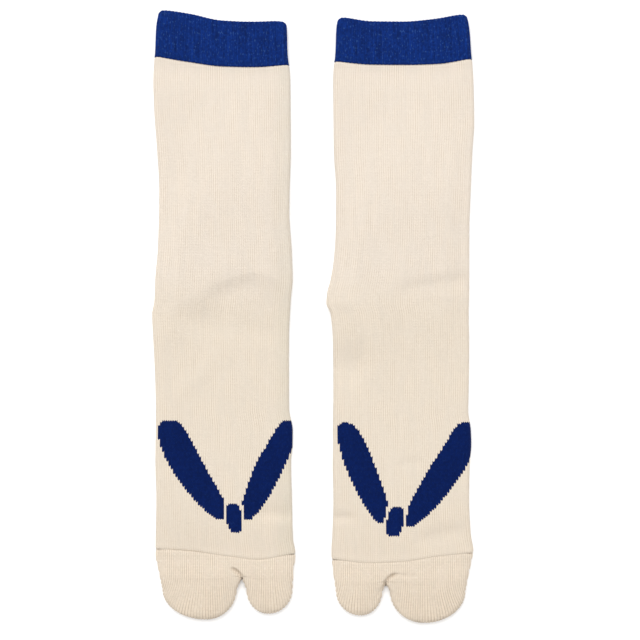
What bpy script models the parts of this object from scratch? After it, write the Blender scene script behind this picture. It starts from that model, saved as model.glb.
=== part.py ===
"""A pair of knitted tabi socks, laid flat side by side with the insteps up.

Each sock is a flattened tube of knit in three pieces: a ribbed cuff, the leg and
foot with its heel pouch folded flat underneath, and a toe cap with one lobe for
the big toe and one for the other four. Lengths are in millimetres in the tables
and functions, and MM turns them into metres when a mesh is made. X runs across
the pair, Y from the toes (-) to the cuffs (+), Z up from the surface below.
"""
import bisect
import math
from collections import namedtuple

import bmesh
import bpy

MM = 0.001

# Knit
WALL = 1.4            # leg and foot
TOE_WALL = 1.6        # the toe is knitted denser
CUFF_WALL = 1.8       # the cuff is knitted double
INSIDE = 0.8          # air between the two layers of the flat tube
TOE_INSIDE = 2.0      # the lobes stay a little puffed
SEAM_GAP = 0.3        # between two pieces at a seam
SIDE_ROLL = 2.8       # how far in from the edge a side fold starts to round
TOE_ROLL = 4.6        # the same round the toes
CROTCH_ROLL = 2.0     # and at the bottom of the notch between them
LOBE_ROLL_MOST = 0.36     # widest rounding of a lobe's side, of the lobe's width
NOTCH_ROLL_GROWS = 0.6    # of the way to the tip, over which the notch side's rounding grows
LOBE_CROWN = 0.5      # rise of a lobe's middle over its sides
CROWN_FADE = 0.3      # of a lobe's length at each end, over which its crown dies out
CROTCH_REACH = 0.5    # of a lobe's width that starts as far down as the bottom of the notch
SIDE_BULGE = 0.4      # a side fold stands this much above the middle
BULGE_POWER = 6       # how close to the side it keeps

# Cuff ribs, raised on the upper side
RIBS = 33
RIB_HEIGHT = 0.35
RIM = 0.9             # height of the cuff's rounded rim
RIM_CORNER = 2.6      # drop of the rim at its two ends
CORNER_POWER = 20     # how close to the ends it keeps

# Heel pouch: sole, pouch and back of the leg lie on each other like a Z
POUCH_DEPTH = 38.0    # from the gore line to the tip, towards the cuff
POUCH_WIDTH = 0.74    # of the sock's width between its side folds
POUCH_FADE = 0.15     # of that width, over which the folds open out sideways
FLAT_HALF = 40.0      # half the width between the side folds
LAYER_GAP = 0.4       # between the folded layers
SHORTEST_LAYER = 0.4  # of the middle layer, at the pouch's two corners
HEEL_BAND = 9.0       # length of the sides and instep that belongs to the heel's rows
TIP_CLEARANCE = 7.0   # of the leg beyond the pouch's tip, before it comes down
RAMP_LEG = 13.0       # run over which the back of the leg comes down again
INSTEP_RAMP_LEG = 24.0    # the same for the upper layer, up the leg
INSTEP_RAMP_FOOT = 16.0   # and down the foot
INSTEP_ROUND = 0.45   # how much sooner it comes down at the sides, of the pouch's depth
SIDE_LIFT = 0.38      # lift of the side folds at the pouch, of the full lift
SIDE_SHOULDER = 0.78  # place where the upper layer starts to fall towards them
FOLD_RADIUS = (WALL + LAYER_GAP) / 2
OPEN_ARC = 0.55       # length of a fold's arc where it has opened out, of its full length
LEAST_TURN = 0.002    # of an opened fold, in radians
TURN_STEPS = 4        # straight steps round a fold
FOLD_ROWS = 2 * TURN_STEPS + 5

# Places of the columns of points across a sock, from -1 at one side fold to 1 at the other
COLUMNS = (-1, -0.89, -0.84, -0.79, -0.74, -0.52, -0.26, 0,
           0.26, 0.52, 0.74, 0.79, 0.84, 0.89, 1)
ROLL_STEPS = 4        # straight steps round a side fold
LEG_ROWS = (0, 0.12, 0.24, 0.36, 0.48, 0.6, 0.65, 0.7, 0.75, 0.8, 0.85, 0.9, 0.95)
FOOT_ROWS = (0.02, 0.05, 0.09, 0.14, 0.24, 0.35, 0.46, 0.54, 0.62, 0.75, 0.9, 1)
CAP_ROWS = (0, 0.3, 0.6, 0.85)          # from the toe seam to the crotch
TIP_ANGLES = (14, 28, 42, 55, 67, 79)   # from the crotch to a lobe's tip, crowding towards it
LOBE_COLUMNS = {"big": 5, "rest": 7}    # steps across a lobe

Outline = namedtuple("Outline", "y low_x high_x")
Line = namedtuple("Line", "low mid_low middle mid_high high")
Lobe = namedtuple("Lobe", "shoulder_y notch_x edge_x tip_x tip_y")
Crotch = namedtuple("Crotch", "x upper_y sole_y")
Ring = namedtuple("Ring", "sole high_roll top low_roll")
LINE_PLACES = (-1, -0.5, 0, 0.5, 1)
SHARP_ANGLE = 60      # between two faces, in degrees, from which their edge shows as a crease

SOCKS = {
    "right": {
        "outline": (
            Outline(191.6, -97.0, -17.2), Outline(181.0, -98.5, -16.2), Outline(166.7, -99.1, -15.8),
            Outline(148.0, -100.1, -14.3), Outline(129.0, -99.5, -14.1), Outline(104.0, -97.7, -14.0),
            Outline(79.0, -96.4, -14.7), Outline(66.0, -96.5, -14.9), Outline(41.7, -97.3, -13.4),
            Outline(24.0, -98.8, -12.8), Outline(10.5, -99.3, -14.0), Outline(1.5, -100.8, -14.5),
            Outline(-8.0, -100.4, -15.0), Outline(-27.0, -99.4, -15.2), Outline(-57.0, -98.5, -15.1),
            Outline(-71.0, -98.6, -12.8), Outline(-80.0, -98.7, -12.8), Outline(-90.0, -98.8, -13.9),
            Outline(-114.0, -98.2, -13.3), Outline(-138.0, -98.6, -12.7), Outline(-148.5, -98.7, -11.1),
            Outline(-158.0, -97.0, -12.1), Outline(-171.0, -94.4, -12.9),
        ),
        "cuff_top": Line(192.5, 189.4, 185.2, 184.2, 184.6),
        "cuff_seam": Line(162.5, 159.3, 156.0, 156.1, 156.8),
        "gore": Line(-1.5, 5.1, 11.7, 18.3, 25.0),
        "toe_seam": Line(-145.1, -146.7, -149.5, -151.8, -148.3),
        "crotch": Crotch(-44.4, -164.5, -171.3),
        "low_lobe": "rest",
        "rest": Lobe(-170.6, -47.0, -94.4, -67.0, -189.5),
        "big": Lobe(-171.0, -41.8, -12.9, -28.2, -185.9),
    },
    "left": {
        "outline": (
            Outline(189.2, 15.4, 96.6), Outline(181.0, 14.2, 97.9), Outline(166.7, 13.7, 99.0),
            Outline(148.0, 12.4, 100.3), Outline(121.0, 12.7, 100.8), Outline(104.0, 12.9, 99.7),
            Outline(79.0, 14.3, 98.6), Outline(54.0, 14.1, 97.7), Outline(35.0, 12.8, 97.6),
            Outline(23.0, 10.8, 97.6), Outline(15.0, 8.7, 97.6), Outline(8.5, 8.2, 97.4),
            Outline(2.5, 10.7, 97.3), Outline(-4.0, 11.6, 97.4), Outline(-14.5, 12.3, 97.6),
            Outline(-52.0, 12.6, 97.2), Outline(-58.0, 12.4, 97.0), Outline(-71.0, 12.3, 98.7),
            Outline(-80.0, 12.4, 99.0), Outline(-92.0, 12.2, 98.0), Outline(-114.0, 12.6, 97.6),
            Outline(-136.0, 12.0, 98.7), Outline(-146.5, 11.4, 100.3), Outline(-154.0, 11.7, 98.9),
            Outline(-164.0, 13.0, 96.8), Outline(-171.5, 14.1, 95.4),
        ),
        "cuff_top": Line(187.6, 184.9, 184.6, 186.6, 189.6),
        "cuff_seam": Line(159.6, 158.1, 157.6, 158.4, 161.0),
        "gore": Line(8.0, 12.4, 16.8, 21.2, 25.6),
        "toe_seam": Line(-151.7, -154.0, -153.2, -150.1, -147.6),
        "crotch": Crotch(45.6, -168.0, -176.0),
        "low_lobe": "big",
        "big": Lobe(-171.5, 43.4, 14.1, 29.6, -187.0),
        "rest": Lobe(-172.0, 48.0, 95.3, 69.3, -191.6),
    },
}

COLOURS = {"cuff": (0.012, 0.030, 0.175, 1), "leg_foot": (0.88, 0.78, 0.66, 1),
           "toe": (0.82, 0.70, 0.57, 1)}
ROUGHNESS = 0.9


def lerp(a, b, part):
    """The value at a part of the way from a to b."""
    return a + (b - a) * part


def ease(part):
    """0 to 1 with level ends, and held outside them."""
    part = min(max(part, 0.0), 1.0)
    return part * part * (3 - 2 * part)


def smooth_curve(places, values):
    """A curve through the values that never overshoots them (monotone cubic)."""
    pairs = sorted(zip(places, values))
    xs = [pair[0] for pair in pairs]
    ys = [pair[1] for pair in pairs]
    steps = [b - a for a, b in zip(xs, xs[1:])]
    slopes = [(b - a) / step for a, b, step in zip(ys, ys[1:], steps)]
    tangents = [slopes[0]]
    for before, after, step_a, step_b in zip(slopes, slopes[1:], steps, steps[1:]):
        if before * after <= 0:
            tangents.append(0.0)
        else:
            weight_a = 2 * step_b + step_a
            weight_b = step_b + 2 * step_a
            tangents.append((weight_a + weight_b) / (weight_a / before + weight_b / after))
    tangents.append(slopes[-1])

    def curve(x):
        index = min(max(bisect.bisect_right(xs, x) - 1, 0), len(steps) - 1)
        part = min(max((x - xs[index]) / steps[index], 0.0), 1.0)
        rest = 1 - part
        run = steps[index]
        return (ys[index] * (1 + 2 * part) * rest * rest + ys[index + 1] * part * part * (3 - 2 * part)
                + run * part * rest * (tangents[index] * rest - tangents[index + 1] * part))

    return curve


def straight_between_columns(curve):
    """The curve's chords between the columns, so that both sides of a seam match."""
    heights = [curve(place) for place in COLUMNS]

    def chords(place):
        index = min(max(bisect.bisect_right(COLUMNS, place), 1), len(COLUMNS) - 1)
        low, high = COLUMNS[index - 1], COLUMNS[index]
        return lerp(heights[index - 1], heights[index], (place - low) / (high - low))

    return chords


class Sock:
    """The measured lines of one sock, as smooth functions."""

    def __init__(self, table):
        rows = table["outline"]
        places = [row.y for row in rows]
        self.low_x = smooth_curve(places, [row.low_x for row in rows])
        self.high_x = smooth_curve(places, [row.high_x for row in rows])
        self.cuff_top = smooth_curve(LINE_PLACES, table["cuff_top"])
        self.gore = smooth_curve(LINE_PLACES, table["gore"])
        self.cuff_seam = straight_between_columns(smooth_curve(LINE_PLACES, table["cuff_seam"]))
        self.toe_seam = straight_between_columns(smooth_curve(LINE_PLACES, table["toe_seam"]))
        self.crotch = table["crotch"]
        self.lobes = {"big": table["big"], "rest": table["rest"]}
        low_name = table["low_lobe"]
        self.lobe_order = (low_name, "rest" if low_name == "big" else "big")

    def across(self, place, y):
        """X of a column at a height y."""
        low, high = self.low_x(y), self.high_x(y)
        return (low + high) / 2 + place * ((high - low) / 2 - SIDE_ROLL)


def pouch_depth(place):
    """How far the pouch reaches up the leg in a column at this place."""
    return max(SHORTEST_LAYER, POUCH_DEPTH * math.sqrt(max(0.0, 1 - (place / POUCH_WIDTH) ** 2)))


def turn(place, above_gore):
    """The angle of the pouch's folds: pi where it is folded flat, easing to 0 round it."""
    reach = math.hypot(place * FLAT_HALF, above_gore)
    inside = math.hypot(place / POUCH_WIDTH, above_gore / POUCH_DEPTH)
    if inside <= 1:
        return math.pi
    beyond = reach - reach / inside - TIP_CLEARANCE * above_gore / reach
    run = lerp(POUCH_FADE * FLAT_HALF, RAMP_LEG, above_gore / reach)
    return math.pi * min(max(1 - beyond / run, 0.0), 1.0)


def turn_radius(angle):
    """Radius of a fold's middle; a fold that opens out has a shorter arc."""
    flat_arc = math.pi * FOLD_RADIUS
    arc = flat_arc * lerp(OPEN_ARC, 1, angle / math.pi)
    return arc / max(angle, LEAST_TURN)


def drop(angle, layer):
    """Height between the knit above two opposite folds and the knit below them."""
    return 2 * turn_radius(angle) * (1 - math.cos(angle)) + layer * math.sin(angle)


def back_lift(place, above_gore):
    """How far the back of the leg is raised by the pouch below it."""
    return drop(turn(place, above_gore), SHORTEST_LAYER)


def instep_lift(place, above_gore):
    """How far the upper layer is raised; it spans the pouch more softly."""
    reach = (POUCH_DEPTH + TIP_CLEARANCE) * (1 - INSTEP_ROUND * place * place)
    along = ease(1 - (above_gore - reach) / INSTEP_RAMP_LEG) * ease(1 + above_gore / INSTEP_RAMP_FOOT)
    fall = ease((abs(place) - SIDE_SHOULDER) / (1 - SIDE_SHOULDER))
    return drop(math.pi, 0) * along * lerp(1, SIDE_LIFT, fall)


def fold_over(sole_end, top_end, bulge):
    """Points round a fold, from the end of the lower layer to the end of the upper one.

    bulge is how far the fold stands out, as X and Y.
    """
    points = []
    for step in range(1, ROLL_STEPS):
        angle = math.pi * step / ROLL_STEPS
        share = (1 - math.cos(angle)) / 2
        out = math.sin(angle)
        x, y, z = (lerp(low, high, share) for low, high in zip(sole_end, top_end))
        points.append((x + bulge[0] * out, y + bulge[1] * out, z))
    return points


def flat_ring(sole, top, roll):
    """A ring whose two sides are folds that stand out sideways by roll."""
    return Ring(sole, fold_over(sole[-1], top[-1], (roll, 0)), top,
                fold_over(sole[0], top[0], (-roll, 0)))


def heel_path(row, place, gore_y, depth):
    """Y and Z of one heel row: round the fold on the gore line, up the middle
    layer, round the pouch's tip and back along the sole.

    The path is that of the knit's middle; depth is measured from its outer face.
    """
    angle = max(turn(place, 0), LEAST_TURN)
    radius = turn_radius(angle)
    layer = pouch_depth(place)
    upper_turn = angle * min(row, TURN_STEPS) / TURN_STEPS
    lower_turn = angle * (1 - min(max(row - TURN_STEPS - 2, 0), TURN_STEPS) / TURN_STEPS)
    along = layer * min(max(row - TURN_STEPS, 0), 2) / 2
    heading = upper_turn if row <= TURN_STEPS else lower_turn
    y = gore_y + radius * math.sin(angle) - radius * math.sin(upper_turn)
    z = WALL / 2 + drop(angle, layer if angle < math.pi else 0) - radius * (1 - math.cos(upper_turn))
    y -= along * math.cos(angle) + radius * (math.sin(angle) - math.sin(lower_turn))
    z -= along * math.sin(angle) + radius * (math.cos(lower_turn) - math.cos(angle))
    after_tip = row - 2 * TURN_STEPS - 2
    if after_tip > 0:
        y = lerp(y, gore_y - HEEL_BAND / 2, after_tip / 2)
    out = WALL / 2 - depth
    return y + out * math.sin(heading), z - out * math.cos(heading)


def body_ring(sock, line, depth, heel_row=None):
    """One ring of the leg and foot; line gives Y for a place across the sock."""
    thickness = 2 * WALL + INSIDE
    top, sole = [], []
    for place in COLUMNS:
        y = line(place)
        z = thickness + SIDE_BULGE * place ** BULGE_POWER + instep_lift(place, y - sock.gore(place)) - depth
        top.append((sock.across(place, y), y, z))
    for place in COLUMNS:
        y = line(place)
        x = sock.across(place, y)
        above = y - sock.gore(place)
        z = depth + (back_lift(place, above) if above > 0 else 0)
        if heel_row is not None and abs(place) < 1:
            y, z = heel_path(heel_row, place, sock.gore(place), depth)
        sole.append((x, y, z))
    return flat_ring(sole, top, SIDE_ROLL - depth)


def body_rings(sock, depth):
    """All the rings of the leg and foot, from the cuff seam to the toe seam."""
    rings = []
    for part in LEG_ROWS:
        rings.append(body_ring(sock, lambda place, part=part: lerp(
            sock.cuff_seam(place) - SEAM_GAP / 2, sock.gore(place) + HEEL_BAND / 2, part), depth))
    for row in range(FOLD_ROWS):
        part = row / (FOLD_ROWS - 1)
        rings.append(body_ring(sock, lambda place, part=part: sock.gore(place)
                               + HEEL_BAND * (0.5 - part), depth, row))
    for part in FOOT_ROWS:
        rings.append(body_ring(sock, lambda place, part=part: lerp(
            sock.gore(place) - HEEL_BAND / 2, sock.toe_seam(place) + SEAM_GAP / 2, part), depth))
    return rings


def cuff_ring(sock, part, depth, ribbed):
    """One ring of the cuff, a part of the way from its seam to its rim."""
    thickness = 2 * CUFF_WALL + INSIDE

    def line(place):
        rim = sock.cuff_top(place) - RIM_CORNER * abs(place) ** CORNER_POWER
        return lerp(sock.cuff_seam(place) + SEAM_GAP / 2, rim, part)

    top = []
    for step in range(2 * RIBS + 1):
        place = step / RIBS - 1
        y = line(place)
        x = sock.across(place, y)
        crest = RIB_HEIGHT if ribbed and step % 2 else 0
        top.append((x, y, thickness + crest - depth))
    sole = []
    for place in COLUMNS:
        y = line(place)
        x = sock.across(place, y)
        sole.append((x, y, depth))
    return flat_ring(sole, top, SIDE_ROLL - depth)


def new_object(name, fill):
    """A named object whose mesh is filled by fill(shape) and faces outwards."""
    shape = bmesh.new()
    fill(shape)
    bmesh.ops.recalc_face_normals(shape, faces=shape.faces)
    mesh = bpy.data.meshes.new(name)
    shape.to_mesh(mesh)
    shape.free()
    mesh.shade_smooth()
    mesh.set_sharp_from_angle(angle=math.radians(SHARP_ANGLE))
    return bpy.data.objects.new(name, mesh)


def vertices(shape, points):
    """The points as vertices, in metres."""
    return [shape.verts.new([value * MM for value in point]) for point in points]


def ring_vertices(shape, ring):
    """The same ring, of vertices."""
    return Ring(*(vertices(shape, points) for points in ring))


def loop(ring):
    """The ring as one closed list: sole low to high, up the high side, back, down."""
    return ring.sole + ring.high_roll + ring.top[::-1] + ring.low_roll[::-1]


def bridge(shape, first, second):
    """A band of faces between two rings with the same number of points."""
    first, second = loop(first), loop(second)
    for index, corner in enumerate(first):
        before = index - 1
        shape.faces.new((first[before], corner, second[index], second[before]))


def loft(shape, rings):
    """Bands between rings of points; gives the first and the last ring's vertices."""
    made = [ring_vertices(shape, ring) for ring in rings]
    for first, second in zip(made, made[1:]):
        bridge(shape, first, second)
    return made[0], made[-1]


def fill_tube(shape, outer_rings, inner_rings):
    """A wall between an outer and an inner loft, open at both ends."""
    outer_ends = loft(shape, outer_rings)
    inner_ends = loft(shape, inner_rings)
    for outer, inner in zip(outer_ends, inner_ends):
        bridge(shape, outer, inner)


def make_body(sock, name):
    """The leg and foot of one sock, with the heel pouch folded under the leg."""
    return new_object(name, lambda shape: fill_tube(shape, body_rings(sock, 0), body_rings(sock, WALL)))


def make_cuff(sock, name):
    """The ribbed cuff of one sock."""
    height = sock.cuff_top(0) - sock.cuff_seam(0)
    rows = (0, 0.5, 1 - RIM / height)
    outer = [cuff_ring(sock, part, 0, True) for part in rows]
    outer.append(cuff_ring(sock, 1, CUFF_WALL / 3, False))
    inner = [cuff_ring(sock, part, CUFF_WALL, False) for part in rows]
    inner.append(cuff_ring(sock, 1, 2 * CUFF_WALL / 3, False))
    return new_object(name, lambda shape: fill_tube(shape, outer, inner))


class ToeCap:
    """One face of a toe cap: its outer face, or the inner one a wall further in."""

    def __init__(self, sock, depth):
        self.sock = sock
        self.depth = depth
        self.steps = [LOBE_COLUMNS[name] for name in sock.lobe_order]
        crotch = sock.crotch
        self.crotch_x = crotch.x
        slant = (crotch.upper_y - crotch.sole_y) / (2 * TOE_WALL + TOE_INSIDE)
        inward = depth * math.sqrt(1 + slant * slant)
        self.crotch_y = {"top": crotch.upper_y + inward - depth * slant + CROTCH_ROLL,
                         "sole": crotch.sole_y + inward + depth * slant + CROTCH_ROLL}

    def edge(self, name, y, notch):
        """X of a lobe's outline at y, on its notch side or on its outer side."""
        lobe = self.sock.lobes[name]
        low_side = name == self.sock.lobe_order[0]
        inward = self.depth if low_side != notch else -self.depth
        if y < lobe.shoulder_y:
            length = lobe.shoulder_y - lobe.tip_y - self.depth
            share = math.sqrt(max(0.0, 1 - ((lobe.shoulder_y - y) / length) ** 2))
            return lerp(lobe.tip_x, (lobe.notch_x if notch else lobe.edge_x) + inward, share)
        if notch:
            part = min((y - lobe.shoulder_y) / (self.sock.crotch.upper_y - lobe.shoulder_y), 1.0)
            return lerp(lobe.notch_x, self.crotch_x, part) + inward
        outline = self.sock.low_x if low_side else self.sock.high_x
        return outline(y) + inward

    def levels(self, y, from_tip):
        """Z of the sole and of the top at y, drawn together this near to a tip."""
        seam_y = self.sock.toe_seam(0)
        grown = ease((seam_y - y) / (seam_y - self.sock.crotch.upper_y))
        half = TOE_WALL + lerp(INSIDE, TOE_INSIDE, grown) / 2
        part = min(max(from_tip, 0.0) / (TOE_ROLL - self.depth), 1.0)
        reach = (half - self.depth) * math.sqrt(1 - (1 - part) ** 2)
        return half - reach, half + reach

    def start(self, layer, across, crotch_at):
        """Y where a column of a lobe starts; columns near the notch start at its bottom."""
        near = ease(1 - abs(across - crotch_at) / CROTCH_REACH)
        return lerp(self.sock.crotch.upper_y, self.crotch_y[layer], near)

    def cap_x(self, side, across, y):
        """X of a column of the cap at y, between a side fold and the notch."""
        inset = TOE_ROLL - self.depth
        outer_x = self.edge(self.sock.lobe_order[side], y, False)
        if side == 0:
            return lerp(outer_x + inset, self.crotch_x, across)
        return lerp(self.crotch_x, outer_x - inset, across)

    def cap_row(self, layer, part):
        """One layer's points from side to side, a part of the way down to the notch."""
        points = []
        for side, steps in enumerate(self.steps):
            for step in range(side, steps + 1):
                across = step / steps
                place = self.place(self.cap_x(side, across, self.sock.crotch.upper_y))
                seam_y = self.sock.toe_seam(place) - SEAM_GAP / 2
                y = lerp(seam_y, self.start(layer, across, 1 - side), part)
                points.append(self.lifted(layer, self.cap_x(side, across, y), y))
        return points

    def place(self, x):
        """The place across the sock, -1 to 1, of an X near the toe seam."""
        y = self.sock.crotch.upper_y
        low, high = self.sock.low_x(y), self.sock.high_x(y)
        return (2 * x - low - high) / (high - low)

    def lifted(self, layer, x, y, from_tip=TOE_ROLL, crown=0):
        """The point at the layer's level, the top crowned a little."""
        sole_z, top_z = self.levels(y, from_tip)
        return (x, y, sole_z if layer == "sole" else top_z + crown)

    def lobe_row(self, layer, side, part):
        """One layer's points across one lobe, a part of the way to its tip."""
        name, steps = self.sock.lobe_order[side], self.steps[side]
        tip_y = self.sock.lobes[name].tip_y + self.depth
        fade = ease(part / CROWN_FADE) * ease((1 - part) / CROWN_FADE)
        points = []
        for step in range(steps + 1):
            across = step / steps
            y = lerp(self.start(layer, across, 1 - side), tip_y, part)
            low, high = self.edge(name, y, side == 1), self.edge(name, y, side == 0)
            roll = self.roll(high - low, part)
            x = lerp(low + roll[side == 1], high - roll[side == 0], across)
            crown = LOBE_CROWN * (1 - (2 * across - 1) ** 2) * fade
            points.append(self.lifted(layer, x, y, y - tip_y, crown))
        return points

    def roll(self, width, part):
        """How far a lobe's outer side and its notch side roll over."""
        most = LOBE_ROLL_MOST * width
        outer = min(TOE_ROLL - self.depth, most)
        grown = lerp(CROTCH_ROLL, TOE_ROLL, ease(part / NOTCH_ROLL_GROWS))
        notch = min(grown - self.depth, most)
        return outer, notch

    def cap_ring(self, part):
        """A ring round both lobes, a part of the way from the toe seam to the crotch."""
        return flat_ring(self.cap_row("sole", part), self.cap_row("top", part), TOE_ROLL - self.depth)

    def lobe_ring(self, side, part):
        """A ring round one lobe."""
        sole, top = self.lobe_row("sole", side, part), self.lobe_row("top", side, part)
        name = self.sock.lobe_order[side]
        width = self.edge(name, top[0][1], side == 0) - self.edge(name, top[0][1], side == 1)
        outer, notch = self.roll(abs(width), part)
        low, high = (outer, notch) if side == 0 else (notch, outer)
        return Ring(sole, fold_over(sole[-1], top[-1], (high, 0)), top,
                    fold_over(sole[0], top[0], (-low, 0)))

    def tip(self, side):
        """The point where a lobe closes."""
        lobe = self.sock.lobes[self.sock.lobe_order[side]]
        return lobe.tip_x, lobe.tip_y + self.depth, TOE_WALL + TOE_INSIDE / 2

    def build(self, shape):
        """The whole face in the mesh; gives the ring of vertices at the toe seam."""
        first, split = loft(shape, [self.cap_ring(part) for part in (*CAP_ROWS, 1)])
        middle = self.steps[0]
        saddle = [vertex.co / MM for vertex in (split.sole[middle], split.top[middle])]
        saddle = vertices(shape, fold_over(*saddle, (0, self.depth - CROTCH_ROLL)))
        starts = (Ring(split.sole[:middle + 1], saddle, split.top[:middle + 1], split.low_roll),
                  Ring(split.sole[middle:], split.high_roll, split.top[middle:], saddle))
        for side, start in enumerate(starts):
            rings = [self.lobe_ring(side, math.sin(math.radians(angle))) for angle in TIP_ANGLES]
            after_split, last = loft(shape, rings)
            bridge(shape, start, after_split)
            tip = shape.verts.new([value * MM for value in self.tip(side)])
            end = loop(last)
            for index, corner in enumerate(end):
                shape.faces.new((end[index - 1], corner, tip))
        return first


def make_toe(sock, name):
    """The two-lobed toe cap of one sock."""
    def fill(shape):
        bridge(shape, *(ToeCap(sock, depth).build(shape) for depth in (0, TOE_WALL)))

    return new_object(name, fill)


def material(kind):
    """The plain finish of one kind of piece."""
    finish = bpy.data.materials.new(kind)
    finish.use_nodes = True
    shader = finish.node_tree.nodes["Principled BSDF"]
    shader.inputs["Base Color"].default_value = COLOURS[kind]
    shader.inputs["Roughness"].default_value = ROUGHNESS
    shader.inputs["Metallic"].default_value = 0.0
    return finish


def clear_scene():
    """An empty file to build in."""
    for thing in list(bpy.data.objects):
        bpy.data.objects.remove(thing, do_unlink=True)


def main():
    clear_scene()
    group = bpy.data.collections.new("tabi_socks")
    bpy.context.scene.collection.children.link(group)
    finishes = {kind: material(kind) for kind in COLOURS}
    for foot, table in SOCKS.items():
        sock = Sock(table)
        pieces = {"cuff": make_cuff, "leg_foot": make_body, "toe": make_toe}
        for kind, make in pieces.items():
            piece = make(sock, f"{kind}_{foot}")
            piece.data.materials.append(finishes[kind])
            group.objects.link(piece)


main()
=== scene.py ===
# %% [markdown]
# # A pair of tabi socks, laid flat
#
# Tabi socks have a split toe, so that the thong of a sandal can pass between the
# big toe and the others. Each sock here is one knitted tube with three sections: a
# navy rib cuff, a cream leg and foot, and a two-lobed toe in a denser knit. A
# sandal's strap and knot are knitted into the instep in navy.
#
# The solids of the pair are already made and packed. This lesson dresses each of
# them in a finer shell of knit that keeps the solid's form and place.

# %% Load the packed solids where they stand
import math
from collections import namedtuple

import bmesh
import bpy
import numpy as np
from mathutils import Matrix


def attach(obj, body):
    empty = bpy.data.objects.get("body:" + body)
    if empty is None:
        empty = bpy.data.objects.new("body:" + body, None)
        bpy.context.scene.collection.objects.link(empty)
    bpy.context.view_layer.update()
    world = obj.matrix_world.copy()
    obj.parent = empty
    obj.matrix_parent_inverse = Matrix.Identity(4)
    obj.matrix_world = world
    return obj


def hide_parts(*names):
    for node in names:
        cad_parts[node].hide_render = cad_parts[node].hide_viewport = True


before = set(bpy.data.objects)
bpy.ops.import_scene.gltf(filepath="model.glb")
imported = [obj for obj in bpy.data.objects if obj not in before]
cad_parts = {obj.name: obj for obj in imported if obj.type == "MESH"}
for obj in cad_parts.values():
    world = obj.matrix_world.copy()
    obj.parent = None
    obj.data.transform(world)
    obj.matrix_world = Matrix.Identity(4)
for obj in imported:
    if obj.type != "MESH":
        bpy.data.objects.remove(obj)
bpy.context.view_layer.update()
MM = 0.001
print("solids:", ", ".join(sorted(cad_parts)))

# %% [markdown]
# ## The stage
#
# The pair lies on a pale table under a large soft lamp, as in a product studio. The
# camera looks straight down through a long lens, so that the socks keep their
# true outline. A plain plane is enough for the table, because it only has to catch
# the faint shadow round the cloth.

# %% Table
TABLE_SIZE = 6        # m
TABLE_WHITE = (0.95, 0.95, 0.95, 1)
bpy.ops.object.select_all(action="DESELECT")
bpy.ops.mesh.primitive_plane_add(size=TABLE_SIZE, location=(0, 0, 0))
table = bpy.context.object
table.name = "table"
table_finish = bpy.data.materials.new("table_white")
table_finish.use_nodes = True
table_shader = table_finish.node_tree.nodes["Principled BSDF"]
table_shader.inputs["Base Color"].default_value = TABLE_WHITE
table_shader.inputs["Roughness"].default_value = 1.0
table.data.materials.append(table_finish)
print("table:", table.dimensions[:])

# %% Camera, straight above
LENS = 100            # mm
SENSOR_WIDTH = 36     # mm
VIEW_WIDTH = 400      # mm of table across the picture
VIEW_CENTRE = (4.26, -2.0)
CLOTH_HEIGHT = 4      # mm, where the picture has that width
camera_data = bpy.data.cameras.new("camera")
camera_data.lens = LENS
camera_data.sensor_width = SENSOR_WIDTH
camera = bpy.data.objects.new("camera", camera_data)
distance = VIEW_WIDTH * LENS / SENSOR_WIDTH
camera.location = [value * MM for value in (*VIEW_CENTRE, distance + CLOTH_HEIGHT)]
bpy.context.scene.collection.objects.link(camera)
bpy.context.scene.camera = camera
print("camera height in m:", round(camera.location.z, 3))

# %% Lamp and sky
LAMP_PLACE = (-0.8, 3.4, 3.4)    # m, beyond the cuffs
LAMP_SIZE = 4.8       # m, so that its shadows are very soft
LAMP_POWER = 215      # W
SKY = 1.02            # strength of the even light from all round
lamp_data = bpy.data.lights.new("softbox", "AREA")
lamp_data.size = LAMP_SIZE
lamp_data.energy = LAMP_POWER
lamp = bpy.data.objects.new("softbox", lamp_data)
lamp.location = LAMP_PLACE
lamp.rotation_euler = (-lamp.location).to_track_quat("-Z", "Y").to_euler()
bpy.context.scene.collection.objects.link(lamp)
sky = bpy.data.worlds.new("sky")
sky.use_nodes = True
sky.node_tree.nodes["Background"].inputs["Color"].default_value = (1, 1, 1, 1)
sky.node_tree.nodes["Background"].inputs["Strength"].default_value = SKY
bpy.context.scene.world = sky
bpy.context.scene.view_settings.view_transform = "Standard"
print("lamp at", LAMP_PLACE)

# %% [markdown]
# ## The lines of a sock
#
# A flattened sock is known from a few lines: its two sides, the rim and foot of the
# cuff, the line where the heel pouch is folded under the leg (the gore line), the
# seam over the toes, and the outline of the two lobes. The sides are a table of
# heights, each with the X of the low and the high side. A line across is given by
# its height at five places from side to side. All are in millimetres, with X across
# the pair, Y from the toes to the cuffs and Z up.

# %% Names for the lines of the toe
Lobe = namedtuple("Lobe", "shoulder_y notch_x edge_x tip_x tip_y")
Crotch = namedtuple("Crotch", "x upper_y sole_y")
LINE_PLACES = (-1, -0.5, 0, 0.5, 1)
print("places of a line across:", LINE_PLACES)

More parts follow.
